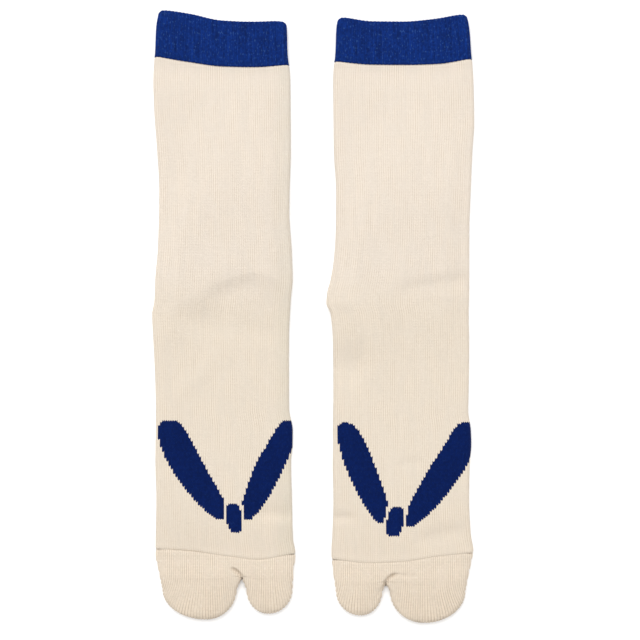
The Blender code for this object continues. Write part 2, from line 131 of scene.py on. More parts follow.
# %% The right foot's sock, at -X
RIGHT = {
    "outline": (
        (191.6, -97.0, -17.2), (181.0, -98.5, -16.2), (166.7, -99.1, -15.8),
        (148.0, -100.1, -14.3), (129.0, -99.5, -14.1), (104.0, -97.7, -14.0),
        (79.0, -96.4, -14.7), (66.0, -96.5, -14.9), (41.7, -97.3, -13.4),
        (24.0, -98.8, -12.8), (10.5, -99.3, -14.0), (1.5, -100.8, -14.5),
        (-8.0, -100.4, -15.0), (-27.0, -99.4, -15.2), (-57.0, -98.5, -15.1),
        (-71.0, -98.6, -12.8), (-80.0, -98.7, -12.8), (-90.0, -98.8, -13.9),
        (-114.0, -98.2, -13.3), (-138.0, -98.6, -12.7), (-148.5, -98.7, -11.1),
        (-158.0, -97.0, -12.1), (-171.0, -94.4, -12.9),
    ),
    "cuff_top": (192.3, 189.3, 185.4, 184.6, 185.3),
    "cuff_seam": (162.5, 159.3, 156.7, 156.2, 157.4),
    "gore": (0.0, 15.0, 25.0, 30.0, 22.0),
    "toe_seam": (-145.1, -146.7, -149.5, -151.8, -148.3),
    "crotch": Crotch(-44.6, -163.8, -165.8),
    "lobes": ("rest", "big"),
    "rest": Lobe(-170.6, -47.8, -94.4, -67.0, -189.5),
    "big": Lobe(-171.0, -41.8, -12.9, -28.2, -185.9),
}
print("right sock:", len(RIGHT["outline"]), "widths")

# %% The left foot's sock, at +X
LEFT = {
    "outline": (
        (189.2, 15.4, 96.6), (181.0, 14.2, 97.9), (166.7, 13.7, 99.0),
        (148.0, 12.4, 100.3), (121.0, 12.7, 100.8), (104.0, 12.9, 99.7),
        (79.0, 14.3, 98.6), (54.0, 14.1, 97.7), (35.0, 12.8, 97.6),
        (23.0, 10.8, 97.6), (15.0, 8.7, 97.6), (8.5, 8.2, 97.4),
        (2.5, 10.7, 97.3), (-4.0, 11.6, 97.4), (-14.5, 12.3, 97.6),
        (-52.0, 12.6, 97.2), (-58.0, 12.4, 97.0), (-71.0, 12.3, 98.7),
        (-80.0, 12.4, 99.0), (-92.0, 12.2, 98.0), (-114.0, 12.6, 97.6),
        (-136.0, 12.0, 98.7), (-146.5, 11.4, 100.3), (-154.0, 11.7, 98.9),
        (-164.0, 13.0, 96.8), (-171.5, 14.1, 95.4),
    ),
    "cuff_top": (187.8, 184.9, 184.7, 186.3, 189.7),
    "cuff_seam": (159.5, 157.8, 157.6, 158.1, 161.0),
    "gore": (9.0, 15.0, 19.5, 24.0, 26.5),
    "toe_seam": (-151.7, -154.0, -153.2, -150.1, -147.6),
    "crotch": Crotch(45.6, -167.0, -170.0),
    "lobes": ("big", "rest"),
    "big": Lobe(-171.5, 43.4, 14.1, 29.6, -187.0),
    "rest": Lobe(-172.0, 48.0, 95.3, 69.3, -191.6),
}
print("left sock:", len(LEFT["outline"]), "widths")

# %% [markdown]
# A straight line between two measured widths would show as a corner in the cloth.
# The curve below passes through every value and is smooth, but it never swings
# past them as a plain cubic would.

# %% Blends
def lerp(a, b, part):
    """The value at a part of the way from a to b."""
    return a + (b - a) * part


def ease(part):
    """0 to 1 with level ends, and held outside them."""
    part = np.clip(part, 0.0, 1.0)
    return part * part * (3 - 2 * part)


print("half way, eased:", float(ease(0.5)))

# %% A smooth curve through values
def smooth_curve(places, values):
    """A curve through the values that never overshoots them (monotone cubic)."""
    order = np.argsort(places)
    xs = np.array(places, float)[order]
    ys = np.array(values, float)[order]
    steps = np.diff(xs)
    slopes = np.diff(ys) / steps
    tangents = np.concatenate([slopes[:1], np.zeros(len(slopes) - 1), slopes[-1:]])
    for i in range(1, len(slopes)):
        before, after = slopes[i - 1], slopes[i]
        if before * after > 0:
            weight_a = 2 * steps[i] + steps[i - 1]
            weight_b = steps[i] + 2 * steps[i - 1]
            tangents[i] = (weight_a + weight_b) / (weight_a / before + weight_b / after)

    def curve(x):
        index = np.clip(np.searchsorted(xs, x, side="right") - 1, 0, len(steps) - 1)
        run = steps[index]
        part = np.clip((x - xs[index]) / run, 0, 1)
        rest = 1 - part
        return (ys[index] * (1 + 2 * part) * rest**2 + ys[index + 1] * part**2 * (3 - 2 * part)
                + run * part * rest * (tangents[index] * rest - tangents[index + 1] * part))

    return curve


print("half way up a step, then level:", float(smooth_curve((0, 1, 2), (0, 1, 1))(0.5)))

# %% A sock's lines as functions
SIDE_ROLL = 2.8       # how far in from the side a fold of the tube starts to round


class Sock:
    """The lines of one sock as smooth functions of place and height."""

    def __init__(self, foot, table):
        self.foot = foot
        heights, low_xs, high_xs = zip(*table["outline"])
        self.low_x = smooth_curve(heights, low_xs)
        self.high_x = smooth_curve(heights, high_xs)
        self.cuff_top = smooth_curve(LINE_PLACES, table["cuff_top"])
        self.cuff_seam = smooth_curve(LINE_PLACES, table["cuff_seam"])
        self.gore = smooth_curve(LINE_PLACES, table["gore"])
        self.toe_seam = smooth_curve(LINE_PLACES, table["toe_seam"])
        self.crotch = table["crotch"]
        self.lobe_names = table["lobes"]
        self.lobes = [table[name] for name in self.lobe_names]

    def across(self, place, y):
        """X of a place from -1 to 1 between the side folds, at a height y."""
        low, high = self.low_x(y), self.high_x(y)
        return (low + high) / 2 + place * ((high - low) / 2 - SIDE_ROLL)


SOCKS = [Sock("right", RIGHT), Sock("left", LEFT)]
for sock in SOCKS:
    print(sock.foot, "leg width in mm:", round(float(sock.high_x(120) - sock.low_x(120)), 1))

# %% [markdown]
# ## One ring of the flattened tube
#
# Every section of the sock is a stack of rings. A ring starts in the middle of the
# low side fold, runs over the top to the high side, round that fold and back along
# the underside. Its columns are the columns of stitches, which a knitter calls
# wales, so the cloth's own grain decides the mesh: a few points across each wale.

# %% Columns of a ring
FLAT_WALES = 58       # on each face, between the side folds
ROLL_WALES = 6        # round each side fold
WALE_POINTS = 3


def columns(flat, rolled, points):
    """Places of the points on a flat face, and parts of the way round a side fold."""
    places = np.linspace(-1, 1, flat * points + 1)
    turns = np.arange(1, rolled * points) / (rolled * points)
    return places, turns


BODY_PLACES, BODY_TURNS = columns(FLAT_WALES, ROLL_WALES, WALE_POINTS)
print("wales round a sock:", 2 * (FLAT_WALES + ROLL_WALES))

# %% Two layers and two folds make a ring
def fold_over(sole_end, top_end, bulge, turns):
    """Points round a fold from the lower layer to the upper; bulge is its X and Y."""
    angle = math.pi * turns[:, None]
    points = lerp(np.array(sole_end), np.array(top_end), (1 - np.cos(angle)) / 2)
    return points + np.sin(angle) * np.array([*bulge, 0])


def ring(sole, high_roll, top, low_roll):
    """One closed ring, from the middle of the low side fold and back to it."""
    middle = len(low_roll) // 2
    return np.concatenate([low_roll[middle:], top, high_roll[::-1], sole[::-1],
                           low_roll[:middle + 1]])


def flat_ring(sole, top, roll, turns):
    """A ring whose two side folds stand out sideways by roll."""
    return ring(sole, fold_over(sole[-1], top[-1], (roll, 0), turns), top,
                fold_over(sole[0], top[0], (-roll, 0), turns))


def ring_places(places, turns):
    """The place across the sock, -1 to 1, of every column of a ring."""
    side = np.ones(len(turns))
    return ring(places, side, places, -side)


def ring_faces(places, turns):
    """1 on the top of a ring and -1 on its underside, turning over at the folds."""
    flat = np.ones(len(places))
    rolled = -np.cos(math.pi * turns)
    return ring(-flat, rolled, flat, rolled)


BODY_RING = ring_places(BODY_PLACES, BODY_TURNS)
print("points round a sock:", len(BODY_RING) - 1)

# %% [markdown]
# ## The heel, folded flat
#
# The heel of a knitted sock is a pouch. When the sock lies with its instep up, the
# pouch folds flat under the leg, so three layers lie on each other like a Z: the
# sole, the pouch turned back, and the back of the leg. That raises the leg above
# the heel, and the raised place shows through the instep as a soft slanting step.
# The path of the cloth through the Z is worked out as two half turns with a
# straight layer between them; towards the sides both turns open out and vanish.

# %% Sizes of the walls and of the folded heel
WALL = 1.4            # thickness of the leg and foot
INSIDE = 0.8          # air between the layers
SIDE_BULGE = 0.4      # a side fold stands this much above the middle
BULGE_POWER = 6       # the higher, the closer to the side it rises
POUCH_DEPTH = 38.0    # from the gore line to the pouch's tip
POUCH_WIDTH = 0.74    # of the width between the side folds
POUCH_FADE = 0.15     # of that width, over which the turns open out
FLAT_HALF = 40.0      # half the width between the side folds
SHORTEST_LAYER = 0.4  # length of the turned-back layer where there is no pouch
HEEL_BAND = 9.0       # length of the sides that belongs to the heel's rows
TIP_CLEARANCE = 7.0   # room beyond the pouch's tip before the cloth comes down
RAMP_LEG = 13.0       # length along the leg over which it comes down
FOLD_RADIUS = 0.9     # of the middle of the wall round a fold
OPEN_ARC = 0.55       # arc of a fold that has opened out, as a part of a closed one's
LEAST_TURN = 0.002    # smallest angle, to keep divisions safe
print("heel pouch depth in mm:", POUCH_DEPTH)

# %% How far the turns are closed
def pouch_depth(place):
    """How far the pouch reaches up the leg at this place."""
    narrowing = np.sqrt(np.maximum(0, 1 - (place / POUCH_WIDTH) ** 2))
    return np.maximum(SHORTEST_LAYER, POUCH_DEPTH * narrowing)


def turn(place, above_gore):
    """The angle of the folds: pi where the pouch is folded flat, easing to 0 round it."""
    reach = np.maximum(np.hypot(place * FLAT_HALF, above_gore), LEAST_TURN)
    inside = np.hypot(place / POUCH_WIDTH, above_gore / POUCH_DEPTH)
    beyond = reach - reach / np.maximum(inside, LEAST_TURN) - TIP_CLEARANCE * above_gore / reach
    run = lerp(POUCH_FADE * FLAT_HALF, RAMP_LEG, above_gore / reach)
    opened = math.pi * np.clip(1 - beyond / run, 0, 1)
    return np.where(inside <= 1, math.pi, opened)


def turn_radius(angle):
    """Radius of a fold; a fold that opens out has a shorter arc."""
    arc = lerp(OPEN_ARC, 1, angle / math.pi)
    return math.pi * FOLD_RADIUS * arc / np.maximum(angle, LEAST_TURN)


def drop(angle, layer):
    """Height between the knit above the two folds and the knit below them."""
    return 2 * turn_radius(angle) * (1 - np.cos(angle)) + layer * np.sin(angle)


print("height of the folded heel in mm:", round(float(drop(math.pi, 0)), 2))

# %% How high the instep is raised over the pouch
INSTEP_RAMP_LEG = 75.0    # how gently the raised instep comes down along the leg
INSTEP_RAMP_FOOT = {"right": (46.0, 3.0), "left": (64.0, 1.7)}    # length along the foot, power
INSTEP_EDGE = 1.5         # where that starts, below the gore line
EDGE_SOFTNESS = 0.06      # part of its length over which it bends down
LOW_SOFTNESS = 0.6        # the same at the side of lower X
LOW_PLACE, LOW_RUN = 0.1, 0.7    # where that side begins, and how wide the change is
INSTEP_ROUND = 0.45   # how much less far the raised place reaches at the sides
SIDE_LIFT = 0.38      # part of its height that is left at the sides
SIDE_SHOULDER = 0.68  # place from which it falls to them


def instep_lift(foot, place, above_gore):
    """How far the top layer is raised over the pouch."""
    reach = (POUCH_DEPTH + TIP_CLEARANCE) * (1 - INSTEP_ROUND * place * place)
    ramp, power = INSTEP_RAMP_FOOT[foot]
    down = np.clip(-(above_gore + INSTEP_EDGE) / ramp, 0, 1)
    softness = lerp(EDGE_SOFTNESS, LOW_SOFTNESS, ease((LOW_PLACE - place) / LOW_RUN))
    down = down**2 * (1 + softness) / (down + softness)
    along = ease(1 - (above_gore - reach) / INSTEP_RAMP_LEG) * (1 - down) ** power
    fall = ease((np.abs(place) - SIDE_SHOULDER) / (1 - SIDE_SHOULDER))
    return drop(np.array(math.pi), 0) * along * lerp(1, SIDE_LIFT, fall)


print("lift over the heel in mm:", round(float(instep_lift("right", 0.0, 20.0)), 2))

# %% The cloth's path through the Z
TURN_ROWS = 6         # rows round each of the two folds
LAYER_ROWS = 8        # along the turned-back layer
SOLE_ROWS = 9         # along the sole below it
HEEL_ROWS = 2 * TURN_ROWS + LAYER_ROWS + SOLE_ROWS


def heel_path(row, place, gore_y, depth):
    """Y and Z of one row of the heel at each place; depth is inward from the outer face."""
    angle = np.maximum(turn(place, 0.0), LEAST_TURN)
    radius = turn_radius(angle)
    layer = pouch_depth(place)
    lift = drop(angle, np.where(angle < math.pi, layer, 0))
    upper_turn = angle * min(row / TURN_ROWS, 1)
    lower_turn = angle * (1 - np.clip((row - TURN_ROWS - LAYER_ROWS) / TURN_ROWS, 0, 1))
    along = layer * np.clip((row - TURN_ROWS) / LAYER_ROWS, 0, 1)
    heading = upper_turn if row <= TURN_ROWS else lower_turn
    y = gore_y + radius * (np.sin(angle) - np.sin(upper_turn))
    z = WALL / 2 + lift - radius * (1 - np.cos(upper_turn))
    y = y - along * np.cos(angle) - radius * (np.sin(angle) - np.sin(lower_turn))
    z = z - along * np.sin(angle) - radius * (np.cos(lower_turn) - np.cos(angle))
    after_tip = max(row - 2 * TURN_ROWS - LAYER_ROWS, 0) / SOLE_ROWS
    y = lerp(y, gore_y - HEEL_BAND / 2, after_tip)
    out = WALL / 2 - depth
    return y + out * np.sin(heading), z - out * np.cos(heading)


print("rows through the heel:", HEEL_ROWS)

# %% [markdown]
# ## Creases
#
# Cloth that has been worn, washed or handled is never quite flat. Each crease here
# is a soft trough along a slightly bowed line. It has a width to
# its right and one to its left, seen along the line: a narrow side is the steep
# edge of a fold and a wide one shades gently. A negative depth is a ridge. Shorter
# tables of the same kind crease the forks of the toes and the undersides.

# %% Pressing creases into a face
Crease = namedtuple("Crease", "x0 y0 x1 y1 bow right left depth")
CREASE_ENDS = 3       # each end of a crease fades over its length divided by this


def crease_depth(x, y, creases):
    """Depth of all the creases together at points of the cloth."""
    total = np.zeros_like(x)
    for crease in creases:
        run = np.array([crease.x1 - crease.x0, crease.y1 - crease.y0])
        length = np.hypot(*run)
        side = np.array([-run[1], run[0]]) / length
        part = ((x - crease.x0) * run[0] + (y - crease.y0) * run[1]) / length**2
        off = (x - crease.x0) * side[0] + (y - crease.y0) * side[1]
        off = off - crease.bow * 4 * part * (1 - part)
        width = np.where(off > 0, crease.left, crease.right)
        fade = ease(CREASE_ENDS * part) * ease(CREASE_ENDS * (1 - part))
        total += crease.depth * fade * np.exp(-((off / width) ** 2))
    return total


def press(points, faces, top_creases, sole_creases):
    """Presses creases into the top and the underside of stacked rings."""
    x, y = points[..., 0], points[..., 1]
    down = crease_depth(x, y, top_creases) * np.clip(faces, 0, 1)
    up = crease_depth(x, y, sole_creases) * np.clip(-faces, 0, 1)
    points[..., 2] += up - down
    return points


print("a crease is given by:", ", ".join(Crease._fields))

# %% The creases of each sock
TOP_CREASES = {
    "right": [
        Crease(-72, 10, -28, 22, 1, 6.0, 7.5, 1.0),
        Crease(-110, 1, -46, -8, 3, 9.0, 12.0, 1.0),
        Crease(-56, -5, -18, -14, 2, 6.0, 5.0, 0.5),
        Crease(-96, -60, -50, -12, -2, 5.0, 6.0, -0.4),
        Crease(-42, -123.6, -4, -124.6, 0, 2.6, 7.0, 1.5),
        Crease(-98, -148, -62, -148, 0, 4.0, 4.0, 0.5),
        Crease(-95, 92, -62, 78, 2, 9.0, 11.0, 0.35),
        Crease(-30, 120, -16, 96, 2, 8.0, 8.0, 0.35),
    ],
    "left": [
        Crease(2, -24, 40, -30, -3, 12.0, 13.0, 2.3),
        Crease(46, 14, 108, 25, 1, 7.0, 4.6, 1.2),
        Crease(58, 4, 84, 9, 1, 6.0, 5.0, 0.5),
        Crease(54, -38, 48, -82, 3, 5.0, 6.0, 0.45),
        Crease(2, -125, 30, -125, 0, 3.0, 1.8, 1.1),
        Crease(60, -142, 100, -132, 1, 5.0, 4.5, 1.0),
        Crease(50, -93, 72, -90, 0, 2.4, 2.2, 0.5),
        Crease(70, 96, 99, 82, 3, 10.0, 10.0, 0.35),
    ],
}
TOE_CREASES = {
    "right": [Crease(-52.7, -156.4, -43.0, -165.4, 1.3, 1.1, 1.0, 2.1)],
    "left": [Crease(55.0, -160.5, 43.6, -170.6, -3.0, 1.0, 1.3, 2.1),
             Crease(66, -162.2, 51, -161.0, 0.3, 1.3, 1.8, 0.5),
             Crease(49, -163, 37, -180, -1.0, 0.9, 0.9, 0.4)],
}
SOLE_CREASES = {
    "right": [Crease(-90, 120, -50, 108, 3, 8.0, 6.0, 0.35),
              Crease(-40, -40, -22, -60, 2, 7.0, 7.0, 0.35),
              Crease(-88, -96, -60, -84, -2, 7.0, 5.0, 0.3)],
    "left": [Crease(24, 116, 60, 128, -3, 8.0, 6.0, 0.35),
             Crease(70, -52, 94, -40, 2, 7.0, 7.0, 0.35),
             Crease(20, -100, 44, -108, 2, 7.0, 5.0, 0.3)],
}
print("creases on top:", {foot: len(found) for foot, found in TOP_CREASES.items()})

# %% [markdown]
# ## From rings to a piece of knit
#
# A grid is the plainest start for woven or knitted cloth: its rows become the
# rings and its columns the wales. The grid is moved onto the rings, its meeting
# edges are merged, and what was a flat square is a closed wall: out over the
# outer face, over the rim, and back along the inner face. The grid's own UV map is
# turned into a chart, counted in wales and courses (rows of stitches), so that the
# finish can find each single stitch. Last, a shallow groove is cut between wales.

# %% A grid, moved onto the rings
CHART = "stitches"


def select_only(*pieces):
    """Deselects everything but these pieces; the last one is active."""
    bpy.ops.object.select_all(action="DESELECT")
    for piece in pieces:
        piece.select_set(True)
        bpy.context.view_layer.objects.active = piece


def knit_grid(points, wales, courses, relief):
    """A grid moved onto rings of points, with its stitch chart and its relief in mm."""
    rows, across = points.shape[:2]
    bpy.ops.object.select_all(action="DESELECT")
    bpy.ops.mesh.primitive_grid_add(x_subdivisions=across - 1, y_subdivisions=rows - 1, size=1)
    piece = bpy.context.object
    mesh = piece.data
    mesh.vertices.foreach_set("co", (points * MM).ravel())
    corner = np.empty(len(mesh.loops), np.int32)
    mesh.loops.foreach_get("vertex_index", corner)
    chart = np.stack([wales.ravel()[corner], courses.ravel()[corner]], axis=1)
    mesh.uv_layers.active.name = CHART
    mesh.uv_layers.active.data.foreach_set("uv", chart.ravel())
    mesh.attributes.new("relief", "FLOAT", "POINT").data.foreach_set("value", relief.ravel())
    return piece


print("name of the chart:", CHART)

# %% Weld the grids and raise the relief
WELD = 2e-6           # m; points closer than this become one


def finish_knit(name, grids, side_gain=0.0):
    """Joins grids into one closed piece, merges their edges and raises the relief."""
    select_only(*grids)
    if len(grids) > 1:
        bpy.ops.object.join()
    piece = bpy.context.object
    piece.name = name
    bpy.ops.object.mode_set(mode="EDIT")
    bpy.ops.mesh.select_all(action="SELECT")
    bpy.ops.mesh.remove_doubles(threshold=WELD)
    bpy.ops.object.mode_set(mode="OBJECT")
    mesh = piece.data
    count = len(mesh.vertices)
    place, normal, relief = np.empty(3 * count), np.empty(3 * count), np.empty(count)
    mesh.vertices.foreach_get("co", place)
    mesh.vertex_normals.foreach_get("vector", normal)
    mesh.attributes["relief"].data.foreach_get("value", relief)
    normal = normal.reshape(-1, 3)
    depth = relief * (1 + side_gain * (1 - np.abs(normal[:, 2])))
    place = place.reshape(-1, 3) + normal * depth[:, None] * MM
    mesh.vertices.foreach_set("co", place.ravel())
    mesh.attributes.remove(mesh.attributes["relief"])
    mesh.shade_smooth()
    mesh.update()
    print(name, "- faces:", len(mesh.polygons))
    return piece


print("weld distance in m:", WELD)

# %% Grooves between wales, and the dip at a seam
def groove(wales, depth):
    """A narrow groove at every whole number of wales, negative inwards."""
    return -depth * (0.5 + 0.5 * np.cos(2 * math.pi * wales)) ** 2


SEAM_DIP = 0.35       # how far the cloth dips into a seam
SEAM_RUN = 0.8        # and over what length
SEAM_ROWS = (0.35, 0.7, 1.15, 1.7, 2.4)   # distances of the rings beside a seam


def seam_dip(distance):
    """How far in the cloth lies at a distance from its seam."""
    return SEAM_DIP * np.exp(-((distance / SEAM_RUN) ** 2))


print("dip beside a seam in mm:", [round(float(seam_dip(row)), 2) for row in SEAM_ROWS])

# %% [markdown]
# ## Leg and foot
#
# The rows run from the toe seam up to the cuff on the outer face and back down on
# the inner face. The inner face can be coarser along the sock, but through the heel
# it needs the same rows as the outer one, or the two would cross at the folds. The
# top layer puffs up a little between the sides and the seams, as soft cloth does.

# %% One ring of the leg and foot
PUFF = 0.7            # how much the top layer rises between the seams and the sides
PUFF_RUN = 20.0       # from each seam, over this length
PUFF_POWER = 4        # the higher, the flatter across the middle
CUFF_MEETING = 0.5    # how much the leg swells to meet the thicker cuff
TOE_MEETING = 0.3     # and the foot to meet the toe
MEETING_RUN = 5.0     # over this length


def top_lift(sock, place, y):
    """How far the top layer rises between the seams, and to meet the cuff and toe."""
    from_cuff, from_toe = sock.cuff_seam(place) - y, y - sock.toe_seam(place)
    puff = PUFF * (1 - place**PUFF_POWER) * ease(from_cuff / PUFF_RUN) * ease(from_toe / PUFF_RUN)
    meeting = CUFF_MEETING * ease(1 - from_cuff / MEETING_RUN)
    return puff + meeting + TOE_MEETING * ease(1 - from_toe / MEETING_RUN)


def body_ring(sock, y, depth, heel_row=None):
    """One ring; y gives its height at each place."""
    place = BODY_PLACES
    above = y - sock.gore(place)
    x = sock.across(place, y)
    top_z = 2 * WALL + INSIDE + SIDE_BULGE * place**BULGE_POWER - depth
    top_z += instep_lift(sock.foot, place, above) + top_lift(sock, place, y)
    sole_y = y
    raised = drop(turn(place, np.maximum(above, 0.0)), SHORTEST_LAYER)
    sole_z = depth + np.where(above > 0, raised, 0)
    if heel_row is not None:
        folded = np.abs(place) < 1
        path_y, path_z = heel_path(heel_row, place, sock.gore(place), depth)
        sole_y = np.where(folded, path_y, y)
        sole_z = np.where(folded, path_z, sole_z)
    top = np.stack([x, y, top_z], axis=1)
    sole = np.stack([x, sole_y, sole_z], axis=1)
    return flat_ring(sole, top, SIDE_ROLL - depth, BODY_TURNS)


print("rise of the top of the leg in mm:", round(float(top_lift(SOCKS[0], 0.0, 100.0)), 2))

# %% Rings from the toe seam to the cuff
LEG_ROWS, FOOT_ROWS = 74, 78


def body_rings(sock, depth, leg_rows, foot_rows, seam_rows=()):
    """Rings from the toe seam to the cuff seam; those of the heel are the middle ones."""
    place = BODY_PLACES
    toe, cuff, gore = sock.toe_seam(place), sock.cuff_seam(place), sock.gore(place)
    foot_top, leg_foot = gore - HEEL_BAND / 2, gore + HEEL_BAND / 2
    dip = seam_dip(0) if seam_rows else 0
    last = max(seam_rows, default=0)
    rings = [body_ring(sock, toe, depth + dip)]
    rings += [body_ring(sock, toe + above, depth + seam_dip(above)) for above in seam_rows]
    for part in np.linspace(0, 1, foot_rows + 1)[1:-1]:
        rings.append(body_ring(sock, lerp(toe + last, foot_top, part), depth))
    for row in range(HEEL_ROWS, -1, -1):
        y = lerp(leg_foot, foot_top, row / HEEL_ROWS)
        rings.append(body_ring(sock, y, depth, row))
    for part in np.linspace(0, 1, leg_rows + 1)[1:-1]:
        rings.append(body_ring(sock, lerp(leg_foot, cuff - last, part), depth))
    rings += [body_ring(sock, cuff - below, depth + seam_dip(below)) for below in seam_rows[::-1]]
    return np.array(rings + [body_ring(sock, cuff, depth + dip)])


print("rows along the foot, the heel and the leg:", FOOT_ROWS, HEEL_ROWS, LEG_ROWS)

# %% The leg and foot, as one closed wall
COURSE = 0.98         # height of a row of stitches
GROOVE = 0.13         # depth between two wales
INNER_ROWS = 14       # of the leg, and of the foot, on the inner face
STRAIGHT_RUN = 30.0   # above the toe seam, the courses run straight from here on
STRAIGHT_BASE = -149.5    # Y where a straight course 0 would lie


def course_at(sock, place, y):
    """Courses counted up from the toe seam, whose curve they follow at first."""
    seam = sock.toe_seam(place)
    return (y - lerp(seam, STRAIGHT_BASE, ease((y - seam) / STRAIGHT_RUN))) / COURSE


def body_courses(sock, outer):
    """The course of each outer point: by height, but along the cloth through the heel."""
    courses = course_at(sock, BODY_RING, outer[..., 1])
    first = len(SEAM_ROWS) + FOOT_ROWS
    heel = slice(first, first + HEEL_ROWS + 1)
    steps = np.linalg.norm(np.diff(outer[heel], axis=0), axis=2)
    along = courses[first] + np.cumsum(np.vstack([0 * steps[:1], steps]), axis=0) / COURSE
    on_sole = ring_faces(BODY_PLACES, BODY_TURNS) < 0
    courses[heel] = np.where(on_sole, along, courses[heel])
    return courses


def make_leg_foot(sock):
    """The leg and foot of one sock, as one closed wall."""
    outer = body_rings(sock, 0.0, LEG_ROWS, FOOT_ROWS, SEAM_ROWS)
    inner = body_rings(sock, WALL, INNER_ROWS, INNER_ROWS)[::-1]
    points = np.concatenate([outer, inner, outer[:1]])
    wales = np.tile(np.arange(points.shape[1]) / WALE_POINTS, (len(points), 1))
    courses = course_at(sock, BODY_RING, points[..., 1])
    courses[:len(outer)] = body_courses(sock, outer)
    relief = groove(wales, GROOVE)
    relief[[0, len(outer) - 1, -1]] = 0
    relief[len(outer):-1] = 0
    faces = ring_faces(BODY_PLACES, BODY_TURNS)
    points = press(points, faces, TOP_CREASES[sock.foot], SOLE_CREASES[sock.foot])
    return finish_knit(f"leg_foot_knit_{sock.foot}", [knit_grid(points, wales, courses, relief)])


leg_feet = {sock.foot: make_leg_foot(sock) for sock in SOCKS}

# %% [markdown]
# ## Cuff
#
# A rib is knitted from alternate knit and purl wales, so it springs in and out like
# a bellows. Here the ribs are real relief all round: the ring is laid on the rib
# crests, and the valleys are sunk between them. Where the rib meets the leg, its
# crests reach a little further down than its valleys, which gives the join its
# fine teeth. The rim is a half round over the double cloth.

# %% One ring of the cuff
RIBS = 33             # on each face, between the side folds
ROLL_RIBS = 3         # round each side fold
RIB_POINTS = 8
RIB_HEIGHT = 0.35     # from a valley to a crest
CUFF_WALL = 1.8
RIM_CORNER = 0.7      # drop of the rim towards its two ends
CORNER_POWER = 14     # the higher, the closer to the end it drops
CORNER_ROUND = 2.4    # and how much further it rounds down over the side folds
CORNER_RUN = 5        # power of its fading out below the rim
SWELL = 2.2           # length over which the rib swells from the seam
CUFF_SOFT = 0.5       # how much thinner the cuff starts at the seam
CUFF_PLACES, CUFF_TURNS = columns(RIBS, ROLL_RIBS, RIB_POINTS)
CUFF_RING = ring_places(CUFF_PLACES, CUFF_TURNS)
CUFF_FACES = ring_faces(CUFF_PLACES, CUFF_TURNS)


def cuff_ring(sock, part, depth, below_rim=0.0):
    """One ring of the cuff, a part of the way from its seam to its rim."""
    place = CUFF_PLACES
    seam = sock.cuff_seam(place)
    rim = sock.cuff_top(place) - RIM_CORNER * np.abs(place) ** CORNER_POWER - CUFF_WALL / 2
    y = lerp(seam, rim, part) + below_rim
    thin = CUFF_SOFT * (1 - ease((y - seam) / SWELL))
    x = sock.across(place, y)
    top_z = 2 * CUFF_WALL + INSIDE + RIB_HEIGHT - depth - thin
    top = np.stack([x, y, top_z], axis=1)
    sole = np.stack([x, y, np.full_like(x, depth)], axis=1)
    points = flat_ring(sole, top, SIDE_ROLL - depth, CUFF_TURNS)
    points[:, 1] -= CORNER_ROUND * (1 - np.abs(CUFF_FACES)) * part**CORNER_RUN
    return points


print("ribs round a cuff:", 2 * (RIBS + ROLL_RIBS))

# %% The cuff, as one closed wall
CUFF_ROWS = 26
CUFF_INNER_ROWS = 8
RIM_STEPS = 6
RIM_RIBS = 0.5        # how much of the relief goes over the rim
TOOTH = 0.2           # how far a rib reaches into the leg


def make_cuff(sock):
    """The ribbed cuff of one sock, as one closed wall."""
    outer = [cuff_ring(sock, part, 0.0) for part in np.linspace(0, 1, CUFF_ROWS)]
    rim = []
    for step in range(1, RIM_STEPS):
        angle = math.pi * step / RIM_STEPS
        depth = CUFF_WALL / 2 * (1 - math.cos(angle))
        rim.append(cuff_ring(sock, 1, depth, CUFF_WALL / 2 * math.sin(angle)))
    inner = [cuff_ring(sock, part, CUFF_WALL) for part in np.linspace(1, 0, CUFF_INNER_ROWS)]
    points = np.array(outer + rim + inner + outer[:1])
    ribs = np.tile(np.arange(points.shape[1]) / RIB_POINTS, (len(points), 1))
    courses = (points[..., 1] - sock.cuff_seam(CUFF_RING)) / COURSE
    valley = 0.5 + 0.5 * np.cos(2 * math.pi * ribs)
    relief = -RIB_HEIGHT * valley * ease(courses * COURSE / SWELL)
    relief[len(outer):len(outer) + len(rim)] *= RIM_RIBS
    relief[len(outer) + len(rim):-1] = 0
    points[0, :, 1] -= TOOTH * (1 - valley[0])
    points[-1] = points[0]
    return finish_knit(f"cuff_rib_{sock.foot}", [knit_grid(points, 2 * ribs, courses, relief)])


cuffs = {sock.foot: make_cuff(sock) for sock in SOCKS}

# %% [markdown]
# ## Toe
#
# The toe is a tube that splits in two. Above the split one ring goes round both
# lobes; at the split the ring is pinched to a saddle, and from there each lobe has
# its own rings down to a single point at its tip. The wales don't follow those
# rings: on a knitted toe they run on downwards, fan out, most of all on the outer
# side of each lobe, and go over the edge to the sole, which is why the edge of the
# toe looks finely notched.

# %% Sizes of the toe
TOE_WALL = 1.6
TOE_INSIDE = 2.0      # the lobes stay a little puffed
TOE_ROLL = 4.6        # how far in from the edge the toe starts to round
CROTCH_ROLL = 2.0     # and at the bottom of the notch
NOTCH_ROLL = 3.0      # and along the sides of the notch
LOBE_ROLL_MOST = 0.36     # the most of a lobe's width that one side rolls
NOTCH_ROLL_GROWS = 0.6    # part of the way to the tip, over which the roll there grows
CROTCH_REACH = 0.5    # part of a lobe's width over which its start bends to the notch
LOBE_POINTS = {"big": 84, "rest": 132}
TOE_TURN_STEPS = 28
TOE_TURNS = np.arange(1, TOE_TURN_STEPS) / TOE_TURN_STEPS
print("columns of the lobes:", LOBE_POINTS)

